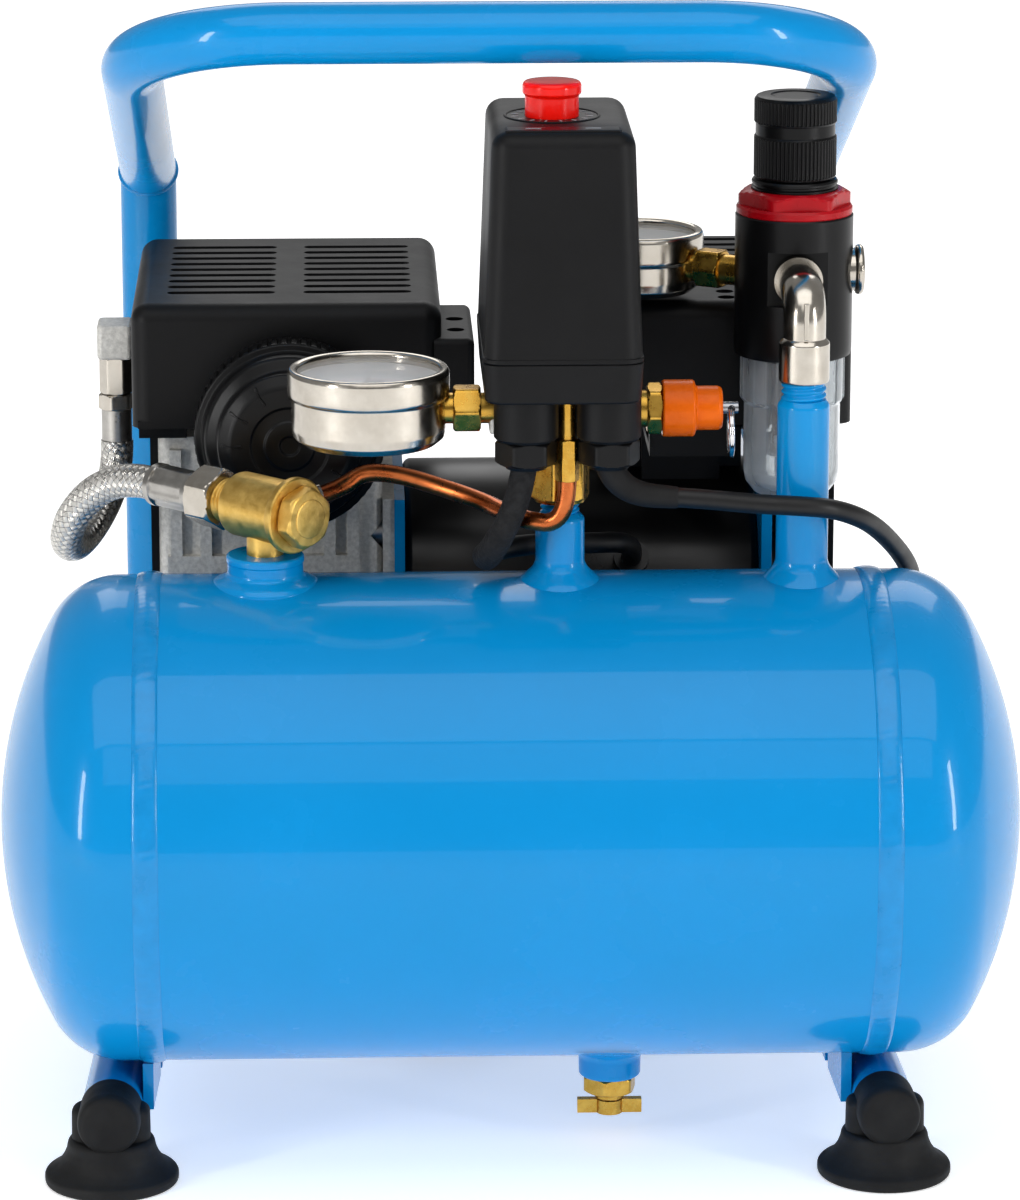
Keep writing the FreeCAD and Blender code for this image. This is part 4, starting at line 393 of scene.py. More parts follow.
def finish(name, colour, second=None, rough=(0.4, 0.5), mottle=30.0, bumps=(), **sockets):
    """A finish worked out from real sizes. colour and second mix by a cloudy pattern with patches mottle mm
    wide, rough is the lowest and highest roughness, and each bump is (pattern, grain in mm, height in mm).
    The other values go on the shader's own sockets."""
    material = bpy.data.materials.new(name)
    material.use_nodes = True
    tree = material.node_tree
    shader = tree.nodes["Principled BSDF"]
    place = put(tree, "TexCoord").outputs["Object"]
    cloud = put(tree, "TexNoise", {"Vector": place, "Scale": 1000 / mottle, "Detail": 5.0, "Roughness": 0.6})
    spread = put(tree, "MapRange", {0: cloud.outputs["Fac"], "From Min": 0.3, "From Max": 0.7,
                                    "To Min": rough[0], "To Max": rough[1]})
    tree.links.new(spread.outputs["Result"], shader.inputs["Roughness"])
    ramp = put(tree, "ValToRGB", {"Fac": cloud.outputs["Fac"]})
    ramp.color_ramp.elements[0].position, ramp.color_ramp.elements[1].position = 0.35, 0.68
    ramp.color_ramp.elements[0].color = linear(second or colour)
    ramp.color_ramp.elements[1].color = linear(colour)
    tree.links.new(ramp.outputs["Color"], shader.inputs["Base Color"])
    normal = None
    for pattern, grain, height in bumps:
        if pattern == "cells":
            raised = put(tree, "TexVoronoi", {"Vector": place, "Scale": 1000 / grain}).outputs["Distance"]
        elif pattern == "lines":
            raised = put(tree, "TexWave", {"Vector": place, "Scale": 1000 / grain / 3, "Distortion": 1.5,
                                           "Detail": 3.0}).outputs["Fac"]
        else:
            raised = put(tree, "TexNoise", {"Vector": place, "Scale": 1000 / grain, "Detail": 3.0}).outputs["Fac"]
        inputs = {"Height": raised, "Distance": height * MM, "Strength": 1.0}
        if normal:
            inputs["Normal"] = normal
        normal = put(tree, "Bump", inputs).outputs["Normal"]
    if normal:
        tree.links.new(normal, shader.inputs["Normal"])
    for socket, value in sockets.items():
        shader.inputs[socket.replace("_", " ")].default_value = value
    MATERIALS[name] = material
    return material, tree, shader


def make_finishes(colours):
    """All the finishes, each from what the real surface is."""
    # Wet-sprayed gloss enamel: clear top gloss over a slightly wavy, orange-peel film.
    finish("gloss blue enamel", colours.paint, "#0186C7", (0.22, 0.3), 60,
           [("noise", 9.0, 0.045), ("noise", 2.2, 0.005)], Coat_Weight=0.32, Coat_Roughness=0.035,
           Specular_IOR_Level=0.1)
    # The same enamel over a hand weld: thinner, rippled, a little darker in patches.
    finish("enamel over weld", "#0489CC", "#0280C0", (0.25, 0.36), 8, [("noise", 4.0, 0.12), ("noise", 1.5, 0.02)],
           Coat_Weight=0.4, Coat_Roughness=0.08, Specular_IOR_Level=0.2)
    # Injection-moulded ABS with a spark-eroded grain: soft sheen that breaks up in small points.
    finish("grained black ABS", colours.plastic, "#0C0C0D", (0.42, 0.52), 25, [("noise", 0.7, 0.035)],
           Specular_IOR_Level=0.17)
    # Smooth moulded black ABS, as on caps and knobs.
    finish("smooth black ABS", "#0E0E0F", "#0A0A0B", (0.28, 0.38), 18, [("noise", 1.6, 0.01)], Specular_IOR_Level=0.19)
    # Gloss stove enamel on rolled steel.
    finish("gloss black enamel", "#0F0F10", "#0B0B0C", (0.26, 0.34), 40, [("noise", 5.0, 0.02)],
           Specular_IOR_Level=0.35)
    # Moulded EPDM rubber: matt, with a dusty bloom in patches.
    finish("moulded rubber", "#111112", "#181818", (0.55, 0.75), 14, [("noise", 0.8, 0.04)], Specular_IOR_Level=0.22)
    # Soft PVC cable sheath, extruded: faint lengthwise sheen.
    finish("PVC sheath", "#0F0F10", "#151516", (0.38, 0.5), 10, [("noise", 1.2, 0.015)], Specular_IOR_Level=0.3)
    # Woven polyester sleeving over a lead: matt, with a fine rib.
    finish("woven sleeving", "#131314", "#1E1E1F", (0.75, 0.9), 3, [("cells", 1.2, 0.25), ("noise", 0.6, 0.08)],
           Specular_IOR_Level=0.25)
    # Pressure die-cast aluminium, shot-blasted: bright matt grey with a fine grain.
    finish("blasted cast aluminium", "#D8D6D0", "#B6B4AF", (0.4, 0.58), 1.6,
           [("noise", 0.9, 0.16), ("cells", 2.4, 0.05)], Metallic=0.2)
    # Milled aluminium with faint cutter lines.
    finish("milled aluminium", "#C2C4C6", "#B2B4B7", (0.28, 0.4), 12, [("lines", 0.8, 0.01)], Metallic=1.0)
    # Zinc-plated steel: bluish white with a slight mottle.
    finish("zinc-plated steel", "#B9BCC0", "#A6ABB2", (0.25, 0.42), 5, [("noise", 1.0, 0.01)], Metallic=1.0)
    # Ground bright steel.
    finish("ground steel", "#A9ABAE", "#9A9CA0", (0.2, 0.34), 7, [("lines", 0.6, 0.006)], Metallic=1.0)
    # Stacked electrical sheets, edge on: dark varnished steel in fine layers.
    finish("varnished laminations", "#4A4643", "#3A3633", (0.4, 0.55), 20, [("lines", 1.0, 0.05)], Metallic=0.7)
    # Bright nickel plate, slightly warm, over a turned or pressed surface.
    finish("nickel plate", "#C4BEB4", "#B5AEA3", (0.14, 0.24), 6, [("noise", 1.5, 0.006)], Metallic=1.0)
    # Satin stainless steel, as on pressed ferrules.
    finish("satin stainless", "#B3B0AB", "#A19E99", (0.26, 0.4), 5, [("noise", 1.2, 0.01)], Metallic=1.0)
    # Decorative chrome: near mirror, with a trace of haze.
    finish("chrome plate", "#D9DADC", "#CFD0D3", (0.04, 0.09), 12, [("noise", 8.0, 0.01)], Metallic=1.0)
    # Turned brass with tool marks, lightly tarnished in patches.
    finish("turned brass", "#D3A94F", "#B98B36", (0.2, 0.36), 5, [("noise", 0.7, 0.012)], Metallic=1.0)
    # Sand-cast or forged brass before machining: paler, duller skin.
    finish("forged brass", "#E2BE6C", "#CFA653", (0.34, 0.5), 4, [("noise", 0.9, 0.06)], Metallic=1.0)
    # Drawn copper tube, bright with warm oxidation bands.
    finish("drawn copper", "#C9713F", "#A9552C", (0.2, 0.36), 8, [("noise", 1.5, 0.012)], Metallic=1.0)
    # Glossy moulded acrylic-like ABS in signal red.
    finish("signal red ABS", colours.button, "#F21006", (0.16, 0.26), 10, [("noise", 3.0, 0.008)], Coat_Weight=0.1,
           Specular_IOR_Level=0.25)
    # Nylon in crimson, moulded, a little softer in gloss.
    finish("crimson nylon", colours.collar, "#A00512", (0.24, 0.36), 8, [("noise", 1.5, 0.012)], Specular_IOR_Level=0.2)
    # Orange anodised or lacquered aluminium cap.
    finish("orange lacquer", colours.cap, "#D45A04", (0.22, 0.34), 8, [("noise", 1.8, 0.01)], Coat_Weight=0.06,
           Specular_IOR_Level=0.12)
    # Painted dial sheet and its printing inks.
    finish("dial white", "#EDEEEE", "#E4E6E7", (0.45, 0.55), 20, [("noise", 2.0, 0.004)])
    finish("dial black ink", "#17181A", "#101113", (0.4, 0.5), 8, [("noise", 1.0, 0.004)])
    finish("dial red ink", "#D6201C", "#C81A17", (0.4, 0.5), 8, [("noise", 1.0, 0.004)])
    finish("label grey ink", "#8C8F93", "#7C7F83", (0.4, 0.5), 4, [("noise", 1.0, 0.004)])
    # Sintered bronze filter candle, and a white moulded baffle.
    finish("sintered bronze", "#9A6A43", "#7E5433", (0.55, 0.7), 2, [("cells", 0.6, 0.12)], Metallic=0.5)
    finish("white acetal", "#E6E7E6", "#DADCDC", (0.35, 0.45), 8, [("noise", 1.5, 0.01)])
    # Needled felt.
    finish("needled felt", "#D9D2BF", "#C6BDA6", (0.85, 0.95), 4, [("noise", 0.6, 0.2)], Sheen_Weight=0.3)
    make_braid()
    # Clear acrylic window: nothing but its own gloss, stronger at a slant.
    make_clear("clear acrylic", "#FFFFFF", 0.0, 0.6, 0.03, 1.49, 30.0)
    # Moulded polycarbonate: clear, with a grey haze that gathers where the wall is seen edge on.
    make_clear("moulded polycarbonate", "#F1F3F4", 0.07, 2.6, 0.1, 1.58, 6.0)


def make_clear(name, tint, haze, gain, rough, ior, ripple):
    """A thin clear wall: what is behind it shows straight through, and a share of the surface, haze plus gain
    times the Fresnel reflection, is the plastic's own gloss."""
    material, tree, shader = finish(name, tint, "#DDE2E5" if haze else "#F4F7F8", (rough * 0.6, rough), ripple,
                                    [("noise", ripple, 0.03)], IOR=ior)
    fresnel = put(tree, "Fresnel", {"IOR": ior}).outputs["Fac"]
    share = put(tree, "Math", {0: fresnel, 1: gain, 2: haze}, operation="MULTIPLY_ADD", use_clamp=True).outputs[0]
    clear = put(tree, "BsdfTransparent", {"Color": linear(tint)}).outputs[0]
    both = put(tree, "MixShader", {0: share, 1: clear, 2: shader.outputs[0]}).outputs[0]
    tree.links.new(both, tree.nodes["Material Output"].inputs["Surface"])


def make_braid():
    """Stainless wire braid, read from the hose's own UV map (u round it, v along it in turns of the braid):
    two families of slanted strands cross, and each goes over and under in turn. Its colour carries painted
    shade and painted highlight: bright on the crowns, dark in the gaps."""
    material, tree, shader = finish("stainless braid", "#BDBBB7", "#A8A6A2", (0.2, 0.34), 3, (), Metallic=1.0)
    uv = put(tree, "TexCoord").outputs["UV"]
    split = put(tree, "SeparateXYZ", {"Vector": uv}).outputs
    strands = 12.0

    def maths(kind, first, second=0.0):
        return put(tree, "Math", {0: first, 1: second}, operation=kind).outputs[0]

    around, along = maths("MULTIPLY", split["X"], strands), maths("MULTIPLY", split["Y"], strands)
    heights, sines = [], []
    for sign in ("ADD", "SUBTRACT"):
        slanted = maths(sign, around, along)
        sines.append(maths("SINE", maths("MULTIPLY", slanted, math.pi)))
        wires = maths("ABSOLUTE", maths("SINE", maths("MULTIPLY", slanted, math.pi * 4)))
        crown = maths("ABSOLUTE", sines[-1])
        heights.append(maths("ADD", maths("MULTIPLY", crown, 0.7), maths("MULTIPLY", wires, 0.3)))
    over = maths("GREATER_THAN", maths("MULTIPLY", sines[0], sines[1]), 0.0)
    chosen = put(tree, "Mix", {0: over, 2: heights[0], 3: heights[1]}).outputs[0]
    normal = put(tree, "Bump", {"Height": chosen, "Distance": 0.4 * MM, "Strength": 1.0}).outputs["Normal"]
    tree.links.new(normal, shader.inputs["Normal"])
    # Painted shade and highlight: the ramp darkens the base colour in the gaps between strands and lightens it on their
    # crowns, by the weave's height.
    ramp = put(tree, "ValToRGB", {"Fac": chosen})
    ramp.color_ramp.elements[0].position, ramp.color_ramp.elements[1].position = 0.1, 0.6
    ramp.color_ramp.elements[0].color = linear("#3A3835")
    ramp.color_ramp.elements[1].color = linear("#DAD7D1")
    tree.links.new(ramp.outputs["Color"], shader.inputs["Base Color"])


# ---------------------------------------------------------------- camera and cords
def camera():
    """The eye stands well back with a long lens, a little above the handle."""
    lens = bpy.data.cameras.new("camera")
    lens.lens, lens.sensor_width = 165.0, 36.0
    eye = bpy.data.objects.new("camera", lens)
    bpy.context.scene.collection.objects.link(eye)
    eye.location = (-0.057, -1.8074, 0.6406)
    eye.rotation_euler = (math.radians(90 - 14.6), 0, math.radians(-1.87))
    lens.clip_end = 50
    bpy.context.scene.camera = eye


def spline(name, points, radius, material=None):
    """An order 3 NURBS curve through metres, bevelled to a round cord."""
    curve = bpy.data.curves.new(name, "CURVE")
    curve.dimensions = "3D"
    line = curve.splines.new("NURBS")
    line.points.add(len(points) - 1)
    line.points.foreach_set("co", np.column_stack([points, np.ones(len(points))]).ravel())
    line.order_u = 3
    line.use_endpoint_u = True
    line.resolution_u = 8
    curve.bevel_depth, curve.bevel_resolution, curve.use_fill_caps = radius, 8, True
    if material:
        curve.materials.append(MATERIALS[material])
    thing = bpy.data.objects.new(name, curve)
    bpy.context.scene.collection.objects.link(thing)
    return thing


def lengths(line):
    """How far along a line each of its points lies."""
    return np.concatenate([[0], np.cumsum(np.linalg.norm(np.diff(line, axis=0), axis=1))])


def line_of(points, resolution=24):
    """The smooth line that an order 3 NURBS spline takes through points in metres, as an array."""
    carrier = spline("route", points, 0.0)
    carrier.data.splines[0].resolution_u = resolution
    mesh = bpy.data.meshes.new_from_object(carrier)
    line = np.empty(len(mesh.vertices) * 3)
    mesh.vertices.foreach_get("co", line)
    curve = carrier.data
    bpy.data.objects.remove(carrier)
    bpy.data.curves.remove(curve)
    bpy.data.meshes.remove(mesh)
    return line.reshape(-1, 3)


HOSE_ROUTE = [(-0.132, 0.0436, 0.2165), (-0.132, 0.0436, 0.2070), (-0.1356, 0.0381, 0.1965),
              (-0.1410, 0.0286, 0.1885), (-0.1460, 0.0156, 0.1855), (-0.1485, 0.0021, 0.1905),
              (-0.1460, -0.0084, 0.2015), (-0.1380, -0.0154, 0.2125), (-0.125962, -0.023438, 0.219),
              (-0.116062, -0.033338, 0.219)]
MOTOR_ROUTE = [(0.0045, -0.0844, 0.2396), (0.0024, -0.0858, 0.2270), (-0.0024, -0.0864, 0.2160),
               (-0.0068, -0.0818, 0.2070), (-0.0086, -0.0722, 0.2028), (-0.0054, -0.0610, 0.2022),
               (0.0034, -0.0508, 0.2014), (0.0154, -0.0414, 0.1996), (0.0286, -0.0308, 0.1970),
               (0.0386, -0.0174, 0.1940), (0.0440, 0.003175, 0.187160), (0.0440, 0.014433, 0.180660)]
MAINS_ROUTE = [(0.0310, -0.0844, 0.2422), (0.0310, -0.0844, 0.2370), (0.0330, -0.0845, 0.2322),
               (0.0367, -0.0846, 0.2286), (0.0415, -0.0850, 0.2266), (0.0480, -0.0856, 0.2259),
               (0.0610, -0.0862, 0.2252), (0.0790, -0.0858, 0.2232), (0.0940, -0.0858, 0.2224),
               (0.1035, -0.0836, 0.2210), (0.1120, -0.0764, 0.2168), (0.1190, -0.0644, 0.2106),
               (0.1260, -0.0494, 0.2018), (0.1320, -0.0352, 0.1926), (0.1362, -0.0214, 0.1836),
               (0.1382, -0.0094, 0.1712), (0.1378, 0.0046, 0.1560), (0.1370, 0.0146, 0.1340),
               (0.1376, 0.0206, 0.1040), (0.1386, 0.0236, 0.0730), (0.1384, 0.0262, 0.0440),
               (0.1350, 0.0296, 0.0200), (0.1230, 0.0340, 0.0066), (0.1040, 0.0366, 0.0036),
               (0.0840, 0.0371, 0.00335)]


def at(x, y, z):
    """A place whose y is measured from the tank's axis."""
    return np.array([x, y + TANK_Y, z], float)


BUTTON = at(13.5, 9, 0)
GLANDS_X = (4.5, 31)


def coil_route():
    """The stored length of the mains lead: five turns about one middle. Turn angle q falls from -90 degrees.
    Two turns spiral in on the floor, r = 41.5 - 6.5 t. The third climbs over the first as a helix round the
    tube below it, the last two spiral out on top, a cord's thickness higher."""
    centre, bottom, gap = at(38, 148, 0), 3.35, 6.5
    t = np.arange(0, 5 + 1 / 32, 1 / 16)
    q = -TAU / 4 - TAU * t
    r, z = 41.5 - gap * t, np.full_like(t, bottom)
    u = np.clip(t - 2, 0, 1)
    f = TAU / 2 - TAU / 4 * u
    r = np.where(t > 2, 35 - gap * u + 6.6 * (1 + np.cos(f)), r)
    z = np.where(t > 2, bottom + 6.6 * np.sin(f), z)
    r = np.where(t > 3, 35.1 + gap * (t - 3) * 0.98, r)
    z = np.where(t > 3, 9.95, z)
    r = r / 0.981        # the spline cuts inside its points by this much
    return np.column_stack([centre[0] + r * np.cos(q), centre[1] + r * np.sin(q), z]) * MM


# ---------------------------------------------------------------- operators
class Builder(bpy.types.Operator):
    """What all the operators share."""
    bl_options = {"REGISTER", "UNDO"}

    @property
    def sizes(self):
        return bpy.context.scene.compressor_sizes

    def execute(self, context):
        self.build()
        return {"FINISHED"}


class MakeStage(Builder):
    """Camera, lights, world and a plain pale floor"""
    bl_idname = "compressor.stage"
    bl_label = "Stage"

    def build(self):
        camera()
        scene = bpy.context.scene
        scene.view_settings.view_transform = "Standard"
        world = bpy.data.worlds.new("studio air")
        world.use_nodes = True
        world.node_tree.nodes["Background"].inputs["Color"].default_value = linear("#F6F6F6")
        world.node_tree.nodes["Background"].inputs["Strength"].default_value = 0.3
        scene.world = world
        lamps = [("overhead softbox", (0.0, -0.75, 1.75), (math.radians(24), 0, 0), 2.2, 1.1, 13.2),
                 ("left tall softbox", (-1.25, -1.0, 0.55), (math.radians(86), 0, math.radians(-52)), 0.14, 0.75, 8.2),
                 ("right tall softbox", (1.3, -0.95, 0.55), (math.radians(86), 0, math.radians(54)), 0.13, 0.75, 7.8),
                 ("high front fill", (0.2, -3.0, 2.6), (math.radians(52), 0, 0), 3.0, 1.2, 11.0),
                 ("back softbox", (0.2, 1.5, 1.3), (math.radians(-52), 0, 0), 1.6, 0.8, 9.0)]
        for name, place, turn, wide, tall, power in lamps:
            lamp = bpy.data.lights.new(name, "AREA")
            lamp.shape, lamp.size, lamp.size_y, lamp.energy = "RECTANGLE", wide, tall, power
            thing = bpy.data.objects.new(name, lamp)
            thing.location, thing.rotation_euler = place, turn
            scene.collection.objects.link(thing)
        material = bpy.data.materials.new("matt white backdrop paper")
        material.use_nodes = True
        shader = material.node_tree.nodes["Principled BSDF"]
        shader.inputs["Base Color"].default_value = linear("#FAFAFA")
        shader.inputs["Roughness"].default_value = 0.9
        shader.inputs["Specular IOR Level"].default_value = 0.1
        shader.inputs["Emission Color"].default_value = (1, 1, 1, 1)
        tree = material.node_tree
        spot = put(tree, "TexCoord").outputs["Object"]
        far = put(tree, "VectorMath", {0: spot}, operation="LENGTH").outputs["Value"]
        glow = put(tree, "MapRange", {0: far, "From Min": 0.5, "From Max": 3.0, "To Min": 0.48, "To Max": 0.95})
        tree.links.new(glow.outputs["Result"], shader.inputs["Emission Strength"])
        mesh = bpy.data.meshes.new("floor")
        half = 14
        mesh.from_pydata([(-half, -half, 0), (half, -half, 0), (half, half, 0), (-half, half, 0)], [], [(0, 1, 2, 3)])
        mesh.materials.append(material)
        floor = bpy.data.objects.new("floor", mesh)
        scene.collection.objects.link(floor)


class MakeFinishes(Builder):
    """Paints, plastics, metals and glass"""
    bl_idname = "compressor.finishes"
    bl_label = "Finishes"

    def build(self):
        make_finishes(bpy.context.scene.compressor_colours)


class MakeHose(Builder):
    bl_idname = "compressor.hose"
    bl_label = "Discharge hose"

    def build(self):
        line = line_of(HOSE_ROUTE) / MM
        along = lengths(line)
        shape = sweep(line, 5.6, (0, 0.25, 1.0), turns=32)
        v = np.repeat(np.concatenate([[0], along, along[-1:]]) / self.sizes.braid_pitch, 33)
        u = np.tile(np.linspace(0, 1, 33), len(line) + 2)
        shape["uv"] = np.column_stack([u, v])
        thing = piece("hose.braid", [shape], ["stainless braid"], replaces=["discharge_hose"])


class MakeLeads(Builder):
    """Motor lead, and mains lead with its coil, plug and strain relief"""
    bl_idname = "compressor.leads"
    bl_label = "Leads"

    def build(self):
        motor = spline("lead.motor", MOTOR_ROUTE, 0.0035, "PVC sheath")
        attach(motor, "frame")
        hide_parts("motor_lead")
        line = line_of(MOTOR_ROUTE) / MM
        along = lengths(line)
        part = (along > 1.5) & (along < 52)
        swell = 4.2 + 0.5 * np.clip((along[part] - 20) / 30, 0, 1)
        sleeve = piece("lead.motor_sleeve", [sweep(line[part], swell, (0.3, 1.0, 0.1), turns=40)],
                       ["woven sleeving"])
        coil = coil_route()
        lead_in = [(0.064, 0.0371, 0.00335), (0.050, 0.0371, 0.00335)]
        lead_out = [(0.028, 0.0371, 0.00985), (0.018, 0.0371, 0.00985), (0.011, 0.0371, 0.00985)]
        route = np.vstack([MAINS_ROUTE, lead_in, coil, lead_out])
        mains = spline("lead.mains", route, 0.00325, "PVC sheath")
        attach(mains, "frame")
        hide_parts("mains_lead", "mains_coil")
        plug, relief = self.plug(), self.relief(line_of(MAINS_ROUTE) / MM)
        length = round(float(lengths(line_of(route))[-1]), 3)

    def relief(self, line):
        """The sleeve that keeps the lead from kinking at its gland: r falls from 4.7 to 3.55 along 27 mm of the
        lead, and rounds off at the tip."""
        along = lengths(line)
        s = np.linspace(5.5, 32.5, 121)
        centre = np.column_stack([np.interp(s, along, line[:, k]) for k in range(3)])
        share = (s - s[0]) / (s[-1] - s[0])
        radius = 4.7 - 1.15 * share - 0.25 * np.clip((share - 0.97) / 0.03, 0, 1) ** 2
        return piece("lead.strain_relief", [sweep(centre, radius, (0.1, 1.0, 0.1), turns=48)], ["moulded rubber"])

    def plug(self):
        """A moulded two-pin plug: a ribbed tail that tapers up from the lead, a waisted grip, a round face."""
        tilt = math.radians(13.26)
        axis = np.array([-math.cos(tilt), 0, math.sin(tilt)])
        start = at(11, 106.5, 9.85)
        tail = [(0, 0), (4.2, 0)]
        for n in range(6):
            h, r = 1.0 + 2.2 * n, 4.3 + 0.22 * n
            tail += [(r, h), (r + 0.15, h + 1.2), (r - 0.5, h + 1.35), (r - 0.5, h + 2.0)]
        body = tail + [(6.0, 15), (8.5, 17.5), (9.2, 21), (11, 26), (15, 30.5), (17.6, 33.5), (18.3, 37), (18.5, 44),
                       (17.9, 45), (0, 45)]
        across = unit(np.cross(axis, (0, 0, 1)))
        pins = [lathe([(0, 44), (2.4, 44), (2.4, 65), (1.7, 66.5), (0, 66.5)], start + across * 9.5 * side, axis, 32,
                      paint=1, soft=0.8) for side in (-1, 1)]
        return piece("lead.plug", [lathe(body, start, axis, 96, soft=0.6)] + pins, ["moulded rubber", "nickel plate"],
                     replaces=["mains_plug"])


class MakeTank(Builder):
    """Tank with its drawn heads, seam welds and screwed stubs"""
    bl_idname = "compressor.tank"
    bl_label = "Tank"

    def build(self):
        f = np.radians(np.linspace(0, 90 - 29.07, 14))
        knuckle = np.column_stack([54 + 26 * np.cos(f), SEAM_X + 9.5 + 26 * np.sin(f)])
        g = np.radians(np.linspace(29.07, 0, 24))
        crown = np.column_stack([137.14 * np.sin(g), SEAM_X - 87.64 + 137.14 * np.cos(g)])
        right = np.vstack([[(TANK_R, 0)], [(TANK_R, SEAM_X)], knuckle, crown[1:]])
        left = right[::-1] * (1, -1)
        shell = lathe(np.vstack([left, right[1:]]), at(0, 0, TANK_Z), (1, 0, 0), 192)
        piece("tank.shell", [shell], ["gloss blue enamel"], replaces=["tank_shell", "tank_heads"],
              sharp=40)
        height = self.sizes.bead_height
        s = np.linspace(0, TAU / 2, 13)
        beads = []
        for side in (-1, 1):
            outline = np.column_stack([TANK_R - 0.4 + height * np.sin(s), side * SEAM_X - 4.3 * np.cos(s)])

            def ripple(a, r, h, side=side):
                lift = np.clip(r - TANK_R + 0.4, 0, None) / height
                return (r + lift * 0.025 * np.sin(150 * a + 3 * np.sin(7 * a) + 0.5 * h),
                        h + lift * 0.2 * np.sin(11 * a + side))

            outline = np.vstack([outline, outline[:1]])
            beads.append(lathe(outline, at(0, 0, TANK_Z), (1, 0, 0), 900, ripple))
        piece("tank.seam_welds", beads, ["enamel over weld"], sharp=60)
        self.stubs()

    def stubs(self):
        """Stubs welded to the shell: tubes with a fillet weld that flares out at the foot, and threaded necks."""
        def neck(r, low, high, step=0.2):
            h = np.arange(low, high, step)
            return list(zip(np.full_like(h, r), h))

        foot = [(0, 188), (18, 188), (18, 193.6), (16.8, 195.2), (14.6, 196.2), (13.0, 196.9), (12.4, 198)]
        boss = lathe(foot + [(12.4, 201.2), (12.7, 201.6), (12.7, 203.4), (12.1, 204), (0, 204)], at(-80, 0, 0),
                     soft=0.6)
        flare = [(0, 188), (14.6, 188), (14.6, 193), (12.6, 195.4), (10.4, 197.4), (9.0, 198.8), (8, 201)]
        pipe = lathe(softened(flare + [(8, 215.5), (6.5, 217)], 0.8).tolist() + neck(6.4, 217.2, 234) + [(0, 234)],
                     at(16, 0, 0), swell=threaded(217.2, 234, 0.7, 1.8))
        flare = [(0, 188), (13.8, 188), (13.8, 193), (12.2, 195.2), (10.6, 197), (9.4, 198.4), (8.5, 200.5)]
        riser = lathe(softened(flare + [(8.5, 252.6), (7.35, 254)], 0.9).tolist() + neck(7.35, 254.2, 262) + [(0, 262)],
                      at(95, 0, 0), swell=threaded(254.2, 262, 0.8, 2.2))
        drain = lathe([(0, 24), (9.6, 24), (10.3, 24.6), (10.4, 30.6), (11.4, 32.4), (13.6, 34.2), (16.2, 35.6),
                       (17, 37), (17, 42), (0, 42)], at(33, 0, 0), soft=0.8)
        piece("tank.stubs", [boss, pipe, riser, drain], ["gloss blue enamel"], replaces=["tank_sockets"],
              sharp=60)


class MakeFrame(Builder):
    """Bent tube legs, the carry handle, its welds, the feet and the end caps"""
    bl_idname = "compressor.frame"
    bl_label = "Tube frame"

    def build(self):
        lean = unit([0, BAR_Y - LEG_Y, BAR_Z - KINK_Z])
        mitre = unit(lean + (0, 0, 1))
        for side, name, node in ((-1, "left", "frame_tube_left"), (1, "right", "frame_tube_right")):
            x = LEG_X[side]
            front = np.array([x + side * SKID_SPLAY, SKID_FRONT_Y, SKID_Z])
            path = bent([front, (x, LEG_Y, SKID_Z), (x, LEG_Y, KINK_Z)], 50, 28)
            tube = sweep(path, TUBE_R, (1, 0.02, 0), cuts=(None, mitre), turns=64)
            a = np.linspace(0, TAU, 97)
            ring = np.column_stack([TUBE_R * np.cos(a), TUBE_R * np.sin(a), 0 * a])
            ring[:, 2] = -(ring @ mitre) / mitre[2]
            ripple = 0.85 + 0.1 * np.sin(46 * a)
            bead = sweep(ring + (x, LEG_Y, KINK_Z), ripple, mitre, turns=12, caps=False, paint=1, closed=True)
            piece("frame." + name, [tube, bead], ["gloss blue enamel", "enamel over weld"], replaces=[node])
        corners = [(LEG_X[-1], LEG_Y, KINK_Z), (LEG_X[-1], BAR_Y, BAR_Z), (LEG_X[1], BAR_Y, BAR_Z),
                   (LEG_X[1], LEG_Y, KINK_Z)]
        handle = sweep(bent(corners, 52, 32), TUBE_R, np.cross(lean, (1, 0, 0)), cuts=(mitre, mitre), turns=64)
        piece("frame.handle", [handle], ["gloss blue enamel"], replaces=["handle"])
        softened_copy("frame_brackets", "frame.brackets", "gloss blue enamel", 0.5)
        self.feet()

    def feet(self):
        shapes = []
        for side in (-1, 1):
            along = unit([-side * SKID_SPLAY, 250, 0])
            front = np.array([LEG_X[side] + side * SKID_SPLAY, SKID_FRONT_Y, SKID_Z])
            outline = [(0, -7.2), (4, -7.1), (8.2, -6.5), (9.7, -5.4), (10.3, -3.2), (10.3, 11.6), (10.05, 12), (0, 12)]
            shapes.append(lathe(outline, front, along, 64, soft=1.0))
            for y in (-32.0, 150.0):
                x = LEG_X[side] + side * SKID_SPLAY * (210 - y) / 250
                pad = [(0, 0), (20.8, 0), (21.7, 0.4), (22, 1.2), (22, 3.0), (21.5, 3.9), (19.4, 5.1), (17.4, 6.8),
                       (15.8, 9.0), (14.7, 11.6), (14.2, 14.2), (13.2, 15.4), (0, 15.4)]
                shapes.append(lathe(pad, at(x, y, 0), turns=96, soft=0.8))
                turn = math.atan2(-side * SKID_SPLAY, 250)
                saddle = soft_block((13, 7.5), (12.8, 7.2), (6, 26.4), 6.4, 0.5, 2.6, origin=at(x, y, 0))
                shapes.append(turned_about(saddle, at(x, y, 0), (0, 0, 1), -turn))
        piece("frame.feet", shapes, ["moulded rubber"], replaces=["feet_and_end_caps"])


class MakePump(Builder):
    """Pump and motor: crankcase, cylinder head, motor housing and run capacitor"""
    bl_idname = "compressor.pump"
    bl_label = "Pump and motor"

    def build(self):
        softened_copy("crankcase", "pump.crankcase", "blasted cast aluminium", 0.6)
        softened_copy("cylinder_head", "pump.head", "blasted cast aluminium", 0.5)
        softened_copy("motor_housing", "pump.motor_housing", "gloss black enamel", 0.5)
        softened_copy("run_capacitor", "pump.capacitor", "smooth black ABS", 0.6)


